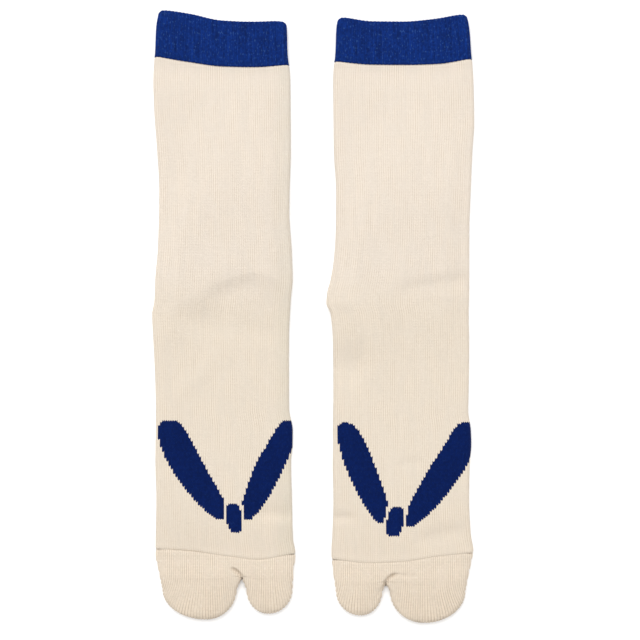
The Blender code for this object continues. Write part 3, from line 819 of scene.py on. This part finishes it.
# %% The outline and height of one face of the toe
class ToeFace:
    """One face of a toe: its outer face, or the inner one a wall further in."""

    def __init__(self, sock, depth):
        self.sock = sock
        self.depth = depth
        self.steps = [LOBE_POINTS[name] for name in sock.lobe_names]
        crotch = sock.crotch
        slant = (crotch.upper_y - crotch.sole_y) / (2 * TOE_WALL + TOE_INSIDE)
        inward = depth * math.sqrt(1 + slant * slant)
        self.crotch_y = {"top": crotch.upper_y + inward - depth * slant + CROTCH_ROLL,
                         "sole": crotch.sole_y + inward + depth * slant + CROTCH_ROLL}

    def edge(self, side, y, notch):
        """X of a lobe's outline at y, on its notch side or on its outer side."""
        lobe = self.sock.lobes[side]
        inward = self.depth if (side == 0) != notch else -self.depth
        length = lobe.shoulder_y - lobe.tip_y - self.depth
        share = np.sqrt(np.maximum(0, 1 - (np.maximum(lobe.shoulder_y - y, 0) / length) ** 2))
        rounded = lerp(lobe.tip_x, (lobe.notch_x if notch else lobe.edge_x) + inward, share)
        if notch:
            run = self.sock.crotch.upper_y - lobe.shoulder_y
            part = np.clip((y - lobe.shoulder_y) / run, 0, 1)
            straight = lerp(lobe.notch_x, self.sock.crotch.x, part) + inward
        else:
            straight = (self.sock.low_x if side == 0 else self.sock.high_x)(y) + inward
        return np.where(y < lobe.shoulder_y, rounded, straight)

    def sides(self, side, y):
        """X of a lobe's low and high sides at y."""
        return self.edge(side, y, side == 1), self.edge(side, y, side == 0)

    def lifted(self, layer, x, y, from_tip=TOE_ROLL, crown=0.0):
        """The points of one layer, drawn together with the other round a tip."""
        seam_y = self.sock.toe_seam(0)
        grown = ease((seam_y - y) / (seam_y - self.sock.crotch.upper_y))
        half = TOE_WALL + lerp(INSIDE, TOE_INSIDE, grown) / 2
        part = np.clip(from_tip / (TOE_ROLL - self.depth), 0, 1)
        reach = (half - self.depth) * np.sqrt(1 - (1 - part) ** 2)
        z = half - reach if layer == "sole" else half + reach + crown
        return np.stack([x, y, z + 0 * x], axis=1)

    def start(self, layer, across, crotch_at):
        """Y where a column of a lobe starts; near the notch that is at its bottom."""
        near = ease(1 - np.abs(across - crotch_at) / CROTCH_REACH)
        return lerp(self.sock.crotch.upper_y, self.crotch_y[layer], near)

    def roll(self, side, width, part):
        """How far a lobe's low side and its high side roll over."""
        most = LOBE_ROLL_MOST * width
        grown = lerp(CROTCH_ROLL, NOTCH_ROLL, ease(part / NOTCH_ROLL_GROWS))
        outer, notch = np.minimum(TOE_ROLL - self.depth, most), np.minimum(grown - self.depth, most)
        return (outer, notch) if side == 0 else (notch, outer)


big_low, big_high = ToeFace(SOCKS[0], 0.0).sides(1, -175.0)
print("the right big toe's width in mm:", round(float(big_high - big_low), 1))

# %% Rows of points across the toe
LOBE_CROWN = 0.5      # how much the middle of a lobe rises
CROWN_FADE = 0.3      # part of the way at each end, over which that fades


class ToeRows(ToeFace):
    """The rows of one face: across the cap over both lobes, and across each lobe."""

    def cap_x(self, side, across, y):
        """X of a column of the cap at y, between a side fold and the notch."""
        inset = TOE_ROLL - self.depth
        outer_x = self.edge(side, y, False)
        if side == 0:
            return lerp(outer_x + inset, self.sock.crotch.x, across)
        return lerp(self.sock.crotch.x, outer_x - inset, across)

    def seam_y(self, side, across):
        """Y of the toe seam at a column of the cap, found in two steps."""
        y = self.sock.toe_seam(0)
        for _ in range(2):
            low, high = self.sock.low_x(y), self.sock.high_x(y)
            place = (2 * self.cap_x(side, across, y) - low - high) / (high - low - 2 * SIDE_ROLL)
            y = self.sock.toe_seam(np.clip(place, -1, 1))
        return y

    def cap_row(self, layer, part):
        """One layer's points from side to side, a part of the way down to the notch."""
        rows = []
        for side, steps in enumerate(self.steps):
            across = np.arange(side, steps + 1) / steps
            y = lerp(self.seam_y(side, across), self.start(layer, across, 1 - side), part)
            rows.append(self.lifted(layer, self.cap_x(side, across, y), y))
        return np.concatenate(rows)

    def lobe_row(self, layer, side, part):
        """One layer's points across one lobe, a part of the way to its tip."""
        across = np.arange(self.steps[side] + 1) / self.steps[side]
        tip_y = self.sock.lobes[side].tip_y + self.depth
        y = lerp(self.start(layer, across, 1 - side), tip_y, part)
        low, high = self.sides(side, y)
        low_roll, high_roll = self.roll(side, high - low, part)
        x = lerp(low + low_roll, high - high_roll, across)
        fade = ease(part / CROWN_FADE) * ease((1 - part) / CROWN_FADE)
        crown = LOBE_CROWN * (1 - (2 * across - 1) ** 2) * fade
        return self.lifted(layer, x, y, y - tip_y, crown)


print("points across the cap:", len(ToeRows(SOCKS[0], 0.0).cap_row("top", 1)))

# %% Rings of the toe
CAP_ROWS = 24
LOBE_ROWS = 54


class ToeRings(ToeRows):
    """The rings of one face, round both lobes and round each of them."""

    def cap_rings(self, dipped=False):
        """Rings round both lobes, from the toe seam to the split; dipped ones lie further in."""
        length = self.sock.toe_seam(0) - self.sock.crotch.upper_y
        near = np.array([0, *SEAM_ROWS]) / length
        rings = []
        for part in np.concatenate([near, np.linspace(near[-1], 1, CAP_ROWS)[1:]]):
            depth = self.depth + (seam_dip(part * length) if dipped else 0)
            face = ToeRows(self.sock, depth)
            rings.append(flat_ring(face.cap_row("sole", part), face.cap_row("top", part),
                                   TOE_ROLL - depth, TOE_TURNS))
        return rings

    def lobe_ring(self, side, part):
        """A ring round one lobe."""
        sole, top = self.lobe_row("sole", side, part), self.lobe_row("top", side, part)
        low, high = self.sides(side, top[0, 1])
        low_roll, high_roll = self.roll(side, high - low, part)
        return ring(sole, fold_over(sole[-1], top[-1], (high_roll, 0), TOE_TURNS), top,
                    fold_over(sole[0], top[0], (-low_roll, 0), TOE_TURNS))

    def lobe_rings(self, side):
        """Rings round one lobe, from the split to the tip."""
        sole, top = self.cap_row("sole", 1), self.cap_row("top", 1)
        middle = self.steps[0]
        saddle = fold_over(sole[middle], top[middle], (0, self.depth - CROTCH_ROLL), TOE_TURNS)
        whole = flat_ring(sole, top, TOE_ROLL - self.depth, TOE_TURNS)
        half = len(TOE_TURNS) // 2
        if side == 0:
            outer_fold = np.concatenate([whole[-half - 1:], whole[1:half + 1]])
            start = ring(sole[:middle + 1], saddle, top[:middle + 1], outer_fold)
        else:
            first = half + 1 + len(top)
            outer_fold = whole[first:first + len(TOE_TURNS)][::-1]
            start = ring(sole[middle:], outer_fold, top[middle:], saddle)
        angles = np.linspace(0, math.pi / 2, LOBE_ROWS + 1)[1:]
        return [start] + [self.lobe_ring(side, math.sin(angle)) for angle in angles]


print("rings of the cap and of a lobe:", CAP_ROWS + len(SEAM_ROWS), LOBE_ROWS + 1)

# %% Wales of the toe, and the piece
TOE_PITCH = 1.34      # width of a wale
TOE_COURSE = 0.95     # height of a row of stitches
FAN = 0.30            # how much the wales of a lobe spread out, on its outer side
NOTCH_FAN = 0.12      # and on its notch side
FAN_FROM, FAN_RUN = 0.3, 0.65    # where, in parts of the way from the seam to the tip
TOE_GROOVE = 0.2      # depth between two wales
EDGE_GAIN = 2.0       # how much deeper the grooves are where the toe rounds over
CREASE_FADE = 3.9     # height over which a crease fades, so that the layers never cross


def toe_chart(sock, points):
    """Wale and course of points of the toe; in each lobe the wales spread from its middle."""
    x, y = points[..., 0], points[..., 1]
    seam = sock.toe_seam(0)
    wale_x = x.copy()
    for side, lobe in enumerate(sock.lobes):
        mine = x < sock.crotch.x if side == 0 else x >= sock.crotch.x
        down = (seam - y) / (seam - lobe.tip_y)
        most = np.where((x - lobe.tip_x) * (lobe.edge_x - lobe.tip_x) > 0, FAN, NOTCH_FAN)
        spread = most * ease((down - FAN_FROM) / FAN_RUN)
        wale_x -= np.where(mine, (x - lobe.tip_x) * spread, 0)
    return wale_x / TOE_PITCH, (y - seam) / TOE_COURSE


def toe_grid(sock, points, outer_rows, in_cap=False):
    """A grid of the toe; only its first outer_rows rows have relief."""
    points = np.array(points)
    wales, courses = toe_chart(sock, points)
    relief = groove(wales, TOE_GROOVE)
    relief[outer_rows:] = 0
    if in_cap:
        relief[outer_rows - 1] = 0
    middle = TOE_WALL + TOE_INSIDE / 2
    is_top = ease((points[..., 2] - middle) / CREASE_FADE + 0.5)
    points[..., 2] -= crease_depth(points[..., 0], points[..., 1], TOE_CREASES[sock.foot]) * is_top
    return knit_grid(points, wales, courses, relief)


def make_toe(sock):
    """The two-lobed toe of one sock, as one closed wall."""
    outer, inner = ToeRings(sock, 0.0), ToeRings(sock, TOE_WALL)
    cap = outer.cap_rings(dipped=True)[::-1]
    grids = [toe_grid(sock, cap + inner.cap_rings(), len(cap), in_cap=True)]
    for side in (0, 1):
        rows = outer.lobe_rings(side)[::-1]
        grids.append(toe_grid(sock, rows, len(rows)))
        grids.append(toe_grid(sock, inner.lobe_rings(side), 0))
    return finish_knit(f"toe_knit_{sock.foot}", grids, EDGE_GAIN)


toes = {sock.foot: make_toe(sock) for sock in SOCKS}

# %% [markdown]
# ## The stitch, as a finish
#
# A knit stitch is a small V: its two legs rise from the middle of a wale to its
# sides. That is too fine to model for tens of thousands of stitches, so the finish
# draws it from the chart. Each leg is a soft bulge in the bump, and its grooves are
# painted darker, a painted shade standing in for the shadow that falls in them. The
# same chart numbers the stitches, so yarn colour can vary from stitch to stitch, and
# a figure knitted into the cloth gets the stepped edge of real knitting. A small
# class lets the formulas be written as plain arithmetic.

# %% Arithmetic in a node tree
class Wire:
    """A number in a node tree; sums and products of wires add Math nodes."""

    def __init__(self, tree, socket):
        self.tree = tree
        self.socket = socket

    def math(self, operation, *others):
        """A Math node on this wire and the others."""
        node = self.tree.nodes.new("ShaderNodeMath")
        node.operation = operation
        for plug, value in zip(node.inputs, (self, *others)):
            if isinstance(value, Wire):
                self.tree.links.new(value.socket, plug)
            else:
                plug.default_value = value
        return Wire(self.tree, node.outputs[0])

    def __add__(self, other):
        return self.math("ADD", other)

    def __sub__(self, other):
        return self.math("SUBTRACT", other)

    def __mul__(self, other):
        return self.math("MULTIPLY", other)

    def __pow__(self, exponent):
        return self.math("POWER", exponent)

    def flipped(self):
        """1 minus this value."""
        return self.math("MULTIPLY_ADD", -1, 1)

    def below(self, limit):
        """1 where this value is under the limit, else 0."""
        return self.math("LESS_THAN", limit)

    def held(self):
        """This value, held between 0 and 1."""
        return self.math("MAXIMUM", 0.0).math("MINIMUM", 1.0)


print("a wire can be:", ", ".join(name for name in vars(Wire) if not name.startswith("_")))

# %% Vectors and noise from wires
NOISE_DETAIL = 2.0    # finer layers of noise, added to the first


def point_of(x, y):
    """Two wires as the X and Y of a vector."""
    node = x.tree.nodes.new("ShaderNodeCombineXYZ")
    x.tree.links.new(x.socket, node.inputs["X"])
    x.tree.links.new(y.socket, node.inputs["Y"])
    return node.outputs["Vector"]


def noise(tree, vector, scale):
    """Smooth noise around 0.5, over a vector."""
    node = tree.nodes.new("ShaderNodeTexNoise")
    node.inputs["Scale"].default_value = scale
    node.inputs["Detail"].default_value = NOISE_DETAIL
    tree.links.new(vector, node.inputs["Vector"])
    return Wire(tree, node.outputs["Fac"])


print("layers of noise added:", NOISE_DETAIL)

# %% The stitches of a knit
Stitch = namedtuple("Stitch", "wale course from_middle height wale_number course_number")


def stitches(tree, slant):
    """The stitch pattern over a piece's chart; slant is how steeply the legs rise."""
    chart = tree.nodes.new("ShaderNodeUVMap")
    chart.uv_map = CHART
    split = tree.nodes.new("ShaderNodeSeparateXYZ")
    tree.links.new(chart.outputs["UV"], split.inputs["Vector"])
    wale, course = Wire(tree, split.outputs["X"]), Wire(tree, split.outputs["Y"])
    from_middle = (wale.math("FRACT") - 0.5).math("ABSOLUTE") * 2
    along = course - from_middle * slant
    across_leg = (along.math("FRACT") - 0.5) * 2
    along_leg = from_middle * 2 - 1
    thick = (across_leg * across_leg).flipped()
    ends = along_leg * along_leg
    height = thick * (ends * ends).flipped()
    numbers = wale.math("FLOOR") + 0.5, along.math("FLOOR") + 0.5
    return Stitch(wale, course, from_middle, height, *numbers)


def per_stitch(tree, stitch):
    """A random value from 0 to 1 for each stitch."""
    node = tree.nodes.new("ShaderNodeTexWhiteNoise")
    node.noise_dimensions = "2D"
    tree.links.new(point_of(stitch.wale_number, stitch.course_number), node.inputs["Vector"])
    return Wire(tree, node.outputs["Value"])


print("stitch fields:", ", ".join(Stitch._fields))

# %% [markdown]
# ## The sandal figure
#
# The two straps of a sandal start wide at the sides of the foot, lean inwards and
# run out towards the knot in front of the toes. A petal formula gives each strap:
# from its top to its end the half width grows quickly and then tapers, while the
# middle leans over, and it stops square at one course. The knot is a rounded block
# with a wale of cream left free round it. Heights are counted in courses up from the
# toe seam and places in wales from the low side fold, so that the figure is decided
# for each stitch as a whole, as on a knitting machine.

# %% Straps and knot, counted in stitches
Strap = namedtuple("Strap", "top end stop top_wale end_wale lean half_width")
Knot = namedtuple("Knot", "wale course lean half_width half_height")
FIGURE = {
    "right": (Strap(86.5, 21.3, 22.8, 7.3, 32.5, 1.40, 8.1),
              Strap(86.5, 22.1, 22.8, 62.1, 41.5, 1.1, 6.8),
              Knot(36.6, 24.1, -0.07, 3.5, 9.0)),
    "left": (Strap(84.6, 19.2, 21.2, 6.6, 24.3, 1.11, 6.8),
             Strap(85.2, 18.7, 19.0, 62.0, 35.0, 1.34, 8.2),
             Knot(29.2, 22.4, 0.12, 3.8, 8.8)),
}
print("stitches high:", round(FIGURE["right"][0].top - FIGURE["right"][0].end))

# %% Masks of the figure
SWELLING = 0.30       # powers of a strap's half width from its top and to its end
TAPER = 0.38
CLEARANCE = 1.1       # cream stitches left round the knot
KNOT_POWER = 3        # the higher, the squarer
CLEARANCE_POWER = 8
# What the two powers come to where the strap is widest
WIDEST = (SWELLING / (SWELLING + TAPER)) ** SWELLING * (TAPER / (SWELLING + TAPER)) ** TAPER


def strap_mask(stitch, strap):
    """1 on the stitches of a strap."""
    part = ((stitch.course_number - strap.top) * (1 / (strap.end - strap.top))).held()
    middle = part**strap.lean * (strap.end_wale - strap.top_wale) + strap.top_wale
    half = part**SWELLING * part.flipped()**TAPER * (strap.half_width / WIDEST)
    inside = (stitch.wale_number - middle).math("ABSOLUTE").below(half)
    return inside * stitch.course_number.below(strap.stop).flipped()


def knot_mask(stitch, knot, grown=0.0, power=KNOT_POWER):
    """1 on the stitches of the knot, a block with round corners that may be grown."""
    up = stitch.course_number - knot.course
    across = stitch.wale_number - knot.wale - up * knot.lean
    x = (across * (1 / (knot.half_width + grown))).math("ABSOLUTE")
    y = (up * (1 / (knot.half_height + grown))).math("ABSOLUTE")
    return (x**power + y**power).below(1.0)


def figure_mask(stitch, foot):
    """1 on all the stitches of one sock's figure."""
    low, high, knot = FIGURE[foot]
    mask = strap_mask(stitch, low).math("MAXIMUM", strap_mask(stitch, high))
    mask = mask * knot_mask(stitch, knot, CLEARANCE, CLEARANCE_POWER).flipped()
    return mask.math("MAXIMUM", knot_mask(stitch, knot))


print("what the powers come to at most:", round(WIDEST, 3))

# %% [markdown]
# ## Yarn
#
# The socks are of dull cotton yarn, so each finish is rough, with a little sheen
# from loose fibres. Cream yarn is never one even colour: single stitches, whole
# wales and wide areas differ slightly. Shade is painted into the colour as well:
# darker in the grooves of the knit, darker from the heel down to the tips of the
# toes, as if the light fell off there, and darker along the right sock's right side
# fold, where its rounded edge turns from the lamp. The navy shows light specks,
# where the fibres catch the light, and its ribs show as fine streaks.

# %% The yarns
# The shades are how much stitches, streaks and wide areas differ. A line is painted
# shade in the groove between wales: a high power makes it narrow, and line_areas makes
# it patchy. Bulge is the painted shade in the crevices round a stitch's legs. The
# groove colour is the painted shade that both darken towards.
Yarn = namedtuple("Yarn", """colour in_grooves in_flecks stitch_shade streak_shade area_shade
                  bulge line line_power line_areas fleck""")
CREAM = Yarn(
    colour=(0.711, 0.632, 0.544), in_grooves=(0.50, 0.41, 0.31), in_flecks=(0.82, 0.77, 0.70),
    stitch_shade=0.02, streak_shade=0.05, area_shade=0.012,
    bulge=0.14, line=1.0, line_power=5, line_areas=3.5, fleck=0.15)
TOE_CREAM = Yarn(
    colour=(0.745, 0.651, 0.537), in_grooves=(0.25, 0.17, 0.10), in_flecks=(0.82, 0.77, 0.70),
    stitch_shade=0.06, streak_shade=0.03, area_shade=0.02,
    bulge=0.18, line=0.68, line_power=2.5, line_areas=1.7, fleck=0.25)
NAVY = Yarn(
    colour=(0.0030, 0.0225, 0.153), in_grooves=(0.001, 0.010, 0.07), in_flecks=(0.04, 0.10, 0.29),
    stitch_shade=0.50, streak_shade=0.50, area_shade=0.10,
    bulge=0.30, line=0.60, line_power=3, line_areas=1, fleck=0.45)
FIGURE_NAVY = Yarn(
    colour=(0.0010, 0.0100, 0.080), in_grooves=(0.001, 0.006, 0.045), in_flecks=(0.01, 0.03, 0.12),
    stitch_shade=0.25, streak_shade=0.15, area_shade=0.10,
    bulge=0.35, line=0.20, line_power=3, line_areas=1, fleck=0.30)
print("a yarn is given by:", ", ".join(Yarn._fields))

# %% Colours in a node tree
def scaled(tree, colour, shade):
    """A colour, as a socket or three numbers, times a wire."""
    node = tree.nodes.new("ShaderNodeVectorMath")
    node.operation = "SCALE"
    if isinstance(colour, tuple):
        node.inputs[0].default_value = colour
    else:
        tree.links.new(colour, node.inputs[0])
    tree.links.new(shade.socket, node.inputs["Scale"])
    return node.outputs["Vector"]


def mixed(tree, part, a, b):
    """Colour a where the wire part is 0, and b where it is 1."""
    node = tree.nodes.new("ShaderNodeMix")
    node.data_type = "RGBA"
    tree.links.new(part.socket, node.inputs["Factor"])
    for plug, colour in ((node.inputs["A"], a), (node.inputs["B"], b)):
        if isinstance(colour, tuple):
            plug.default_value = (*colour, 1)
        else:
            tree.links.new(colour, plug)
    return node.outputs["Result"]


print("mean light of the cream:", round(sum(CREAM.colour) / len(CREAM.colour), 3))

# %% The colour of a yarn over the stitches
PATCH_GRAIN = (0.2, 0.06)     # spots of noise to a wale and to a course
STREAK_GRAIN = (0.9, 0.03)
DASH_GRAIN = (1.4, 0.45)
AREA_GRAIN = 45.0     # spots of noise to a metre
FLECK_LIMIT = 0.60    # of the noise, from which a fleck shows
FLECK_RANGE = 0.08    # beyond it, over which the fleck becomes whole


def line_loss(yarn):
    """What the painted-shade lines between wales take from the mean light of a yarn."""
    contrast = 1 - sum(yarn.in_grooves) / sum(yarn.colour)
    return contrast * yarn.line / (yarn.line_power + 1)


def yarn_noise(tree, stitch, grain):
    """Smooth noise over the stitches, so many spots to a wale and to a course."""
    return noise(tree, point_of(stitch.wale * grain[0], stitch.course * grain[1]), 1.0)


def yarn_colour(tree, stitch, yarn):
    """The colour of a yarn over the stitches."""
    object_place = tree.nodes.new("ShaderNodeTexCoord").outputs["Object"]
    patches = yarn_noise(tree, stitch, PATCH_GRAIN)
    patches = ((patches - 0.5) * yarn.line_areas + 0.5).held()
    # Painted shade: how far a point is darkened towards the groove colour, in the crevices round a
    # stitch's legs and in the lines between wales
    depth = stitch.height.flipped() * yarn.bulge
    depth = depth + stitch.from_middle**yarn.line_power * patches * yarn.line
    streaks = yarn_noise(tree, stitch, STREAK_GRAIN)
    shade = (per_stitch(tree, stitch) - 0.5) * yarn.stitch_shade
    shade = shade + (streaks - 0.5) * (2 * yarn.streak_shade)
    shade = shade + (patches - 0.5) * line_loss(yarn)
    shade = shade + (noise(tree, object_place, AREA_GRAIN) - 0.5) * (2 * yarn.area_shade) + 1
    dashes = yarn_noise(tree, stitch, DASH_GRAIN)
    specks = ((dashes - FLECK_LIMIT) * (1 / FLECK_RANGE)).held() * yarn.fleck
    # The painted groove shade, mixed into the yarn's colour
    colour = mixed(tree, depth, yarn.colour, yarn.in_grooves)
    return mixed(tree, specks, scaled(tree, colour, shade), yarn.in_flecks)


print("light that the lines take from the cream:", round(line_loss(CREAM), 3))

# %% Painted shade along the sock
Shade = namedtuple("Shade", "axis start end colour")    # sets in between two places in mm
# Painted shade: the cream darkens below the ankle and again towards the toes, standing in for light
# that falls off along the sock
FOOT_PAINTED_SHADES = (Shade("Y", 30.0, 0.0, (0.984, 0.980, 0.954)),
               Shade("Y", -105.0, -150.0, (0.975, 0.965, 0.955)))
# Painted shade: the toe darkens from its seam to the tips, for the same fall-off of the light
TOE_TIP_PAINTED_SHADES = (Shade("Y", -152.0, -186.0, (0.940, 0.925, 0.905)),)
# Painted shade along the right sock's right side fold, where its rounded edge turns away from the
# lamp
SIDE_PAINTED_SHADES = {"right": (Shade("X", -26.0, -17.0, (0.940, 0.955, 0.950)),), "left": ()}


def part_along(tree, axis, start, end):
    """A wire that goes from 0 to 1 between two places in mm along an axis."""
    place = tree.nodes.new("ShaderNodeSeparateXYZ")
    tree.links.new(tree.nodes.new("ShaderNodeTexCoord").outputs["Object"], place.inputs["Vector"])
    return ((Wire(tree, place.outputs[axis]) - start * MM) * (1 / ((end - start) * MM))).held()


def painted_shaded(tree, colour, shade):
    """A colour that is multiplied by a painted shade from one place on."""
    node = tree.nodes.new("ShaderNodeVectorMath")
    node.operation = "MULTIPLY"
    tree.links.new(colour, node.inputs[0])
    node.inputs[1].default_value = shade.colour
    part = part_along(tree, shade.axis, shade.start, shade.end)
    return mixed(tree, part, colour, node.outputs["Vector"])


print("shades along the foot:", len(FOOT_PAINTED_SHADES), "and at the tips:", len(TOE_TIP_PAINTED_SHADES))

# %% One finish for all the knits
LEG_SLANT = 0.75      # rise of a stitch's legs, in courses
BUMP_HEIGHT = 0.35    # mm
BUMP_STRENGTH = 0.7
FUZZ = 0.12           # height of the loose fibres, as a part of a stitch's
FUZZ_GRAIN = 5.0      # spots to a stitch
ROUGHNESS = 0.92
GLOSS = 0.05
SHEEN = 0.03
SHEEN_SPREAD = 0.5


def knit_finish(name, yarn, shades=(), figure_foot=None):
    """A knitted finish, with the figure of one foot's sock if that is given."""
    finish = bpy.data.materials.new(name)
    finish.use_nodes = True
    tree = finish.node_tree
    shader = tree.nodes["Principled BSDF"]
    stitch = stitches(tree, LEG_SLANT)
    colour = yarn_colour(tree, stitch, yarn)
    for shade in shades:
        colour = painted_shaded(tree, colour, shade)
    if figure_foot:
        navy = yarn_colour(tree, stitch, FIGURE_NAVY)
        colour = mixed(tree, figure_mask(stitch, figure_foot), colour, navy)
    tree.links.new(colour, shader.inputs["Base Color"])
    bump = tree.nodes.new("ShaderNodeBump")
    bump.inputs["Strength"].default_value = BUMP_STRENGTH
    bump.inputs["Distance"].default_value = BUMP_HEIGHT * MM
    fuzz = noise(tree, point_of(stitch.wale, stitch.course), FUZZ_GRAIN)
    tree.links.new((stitch.height + fuzz * FUZZ).socket, bump.inputs["Height"])
    tree.links.new(bump.outputs["Normal"], shader.inputs["Normal"])
    shader.inputs["Roughness"].default_value = ROUGHNESS
    shader.inputs["Specular IOR Level"].default_value = GLOSS
    shader.inputs["Sheen Weight"].default_value = SHEEN
    shader.inputs["Sheen Roughness"].default_value = SHEEN_SPREAD
    return finish


print("height of a stitch in the bump, in mm:", BUMP_HEIGHT)

# %% Dress the six pieces
def dress(piece, finish):
    """Gives a piece its finish."""
    piece.data.materials.clear()
    piece.data.materials.append(finish)
    print(piece.name, "-", finish.name)


toe_finish = knit_finish("toe_cream", TOE_CREAM, TOE_TIP_PAINTED_SHADES)
rib_finish = knit_finish("rib_navy", NAVY)
for sock in SOCKS:
    shades = FOOT_PAINTED_SHADES + SIDE_PAINTED_SHADES[sock.foot]
    dress(leg_feet[sock.foot], knit_finish(f"cream_{sock.foot}", CREAM, shades, sock.foot))
    dress(cuffs[sock.foot], rib_finish)
    dress(toes[sock.foot], toe_finish)

# %% [markdown]
# ## A last look at the meshes
#
# A piece of cloth that has thickness is a closed skin: outer face, rim and inner
# face. Two faults are easy to make and hard to see in a picture: a row of points
# that was never merged, which leaves the skin open, and a skin that is turned
# inside out, which gives a negative volume. Counting is surer than looking.

# %% Every piece is closed and faces outwards
CM3 = 1e6             # in a cubic metre


def check_closed(piece):
    """Prints the volume of a piece and how many of its edges are open."""
    shape = bmesh.new()
    shape.from_mesh(piece.data)
    volume = shape.calc_volume(signed=True) * CM3
    open_edges = sum(1 for edge in shape.edges if not edge.is_manifold)
    print(piece.name, "cm3:", round(volume, 2), "open edges:", open_edges)
    shape.free()


for piece in (*leg_feet.values(), *cuffs.values(), *toes.values()):
    check_closed(piece)

# %% [markdown]
# ## The pieces take their places
#
# Each knitted piece stands in for one packed solid. It moves with the same body as
# that solid and hides it. The pair has no moving parts, so all six pieces are on the
# one root body.

for foot in leg_feet:
    for piece, node, slot in ((leg_feet[foot], f"leg_foot_{foot}", "cream_knit"),
                              (cuffs[foot], f"cuff_{foot}", "navy_rib"),
                              (toes[foot], f"toe_{foot}", "toe_knit")):
        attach(piece, "root")
        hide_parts(node)

# %% [markdown]
# ## The cloth laid out flat
#
# A program that drapes cloth has to know how large each piece is before it is
# folded or gathered. A knitted tube is thought of as cut open along one side fold:
# its flat width is twice the width of the sock, and its height runs along the
# sock. The leg and foot is longer than it looks, because the heel pouch adds its two
# layers. The area is counted in strips between the two outlines, so it leaves out
# what the lobes and the narrowing sides don't fill.

# %% Width and area of the cut
AREA_STRIPS = 401


def knit_width(sock, y):
    """Width of a sock laid flat, or of its two lobes together below the split."""
    face = ToeFace(sock, 0.0)
    (outer_low, notch_low), (notch_high, outer_high) = face.sides(0, y), face.sides(1, y)
    if y >= sock.crotch.upper_y:
        return outer_high - outer_low
    first = (notch_low - outer_low) * (y > sock.lobes[0].tip_y)
    return first + (outer_high - notch_high) * (y > sock.lobes[1].tip_y)


def knit_area(sock, low_y, high_y):
    """Area of both layers between two heights, in square mm."""
    heights = np.linspace(low_y, high_y, AREA_STRIPS)
    widths = np.array([float(knit_width(sock, y)) for y in heights])
    return 2 * float(np.mean(widths)) * (high_y - low_y)


print("width of the right cuff's cut in mm:", round(2 * float(knit_width(SOCKS[0], 170.0)), 1))

# %% The cut of each sheet of knit
WIDTH_PLACES = 60     # at which the widest place is looked for
for sock in SOCKS:
    tip_y = min(lobe.tip_y for lobe in sock.lobes)
    seam_y, cuff_y, rim_y = sock.toe_seam(0), sock.cuff_seam(0), sock.cuff_top(0)
    heel = math.pi * POUCH_DEPTH * POUCH_WIDTH * FLAT_HALF
    leg_area = knit_area(sock, seam_y, cuff_y) + heel
    cuts = {
        leg_feet[sock.foot]: (seam_y, cuff_y + 2 * POUCH_DEPTH, leg_area),
        cuffs[sock.foot]: (cuff_y, rim_y, knit_area(sock, cuff_y, rim_y)),
        toes[sock.foot]: (tip_y, seam_y, knit_area(sock, tip_y, seam_y)),
    }
    for piece, (start, end, area) in cuts.items():
        heights = np.linspace(start, min(end, rim_y), WIDTH_PLACES)
        round_it = 2 * max(float(knit_width(sock, y)) for y in heights)
        flat = round_it * MM, float(end - start) * MM
        area * MM * MM
        sizes = " x ".join(str(round(size, 4)) for size in flat)
        print(piece.name, "cut:", sizes, "m, area:", round(area * MM * MM, 5), "m2")
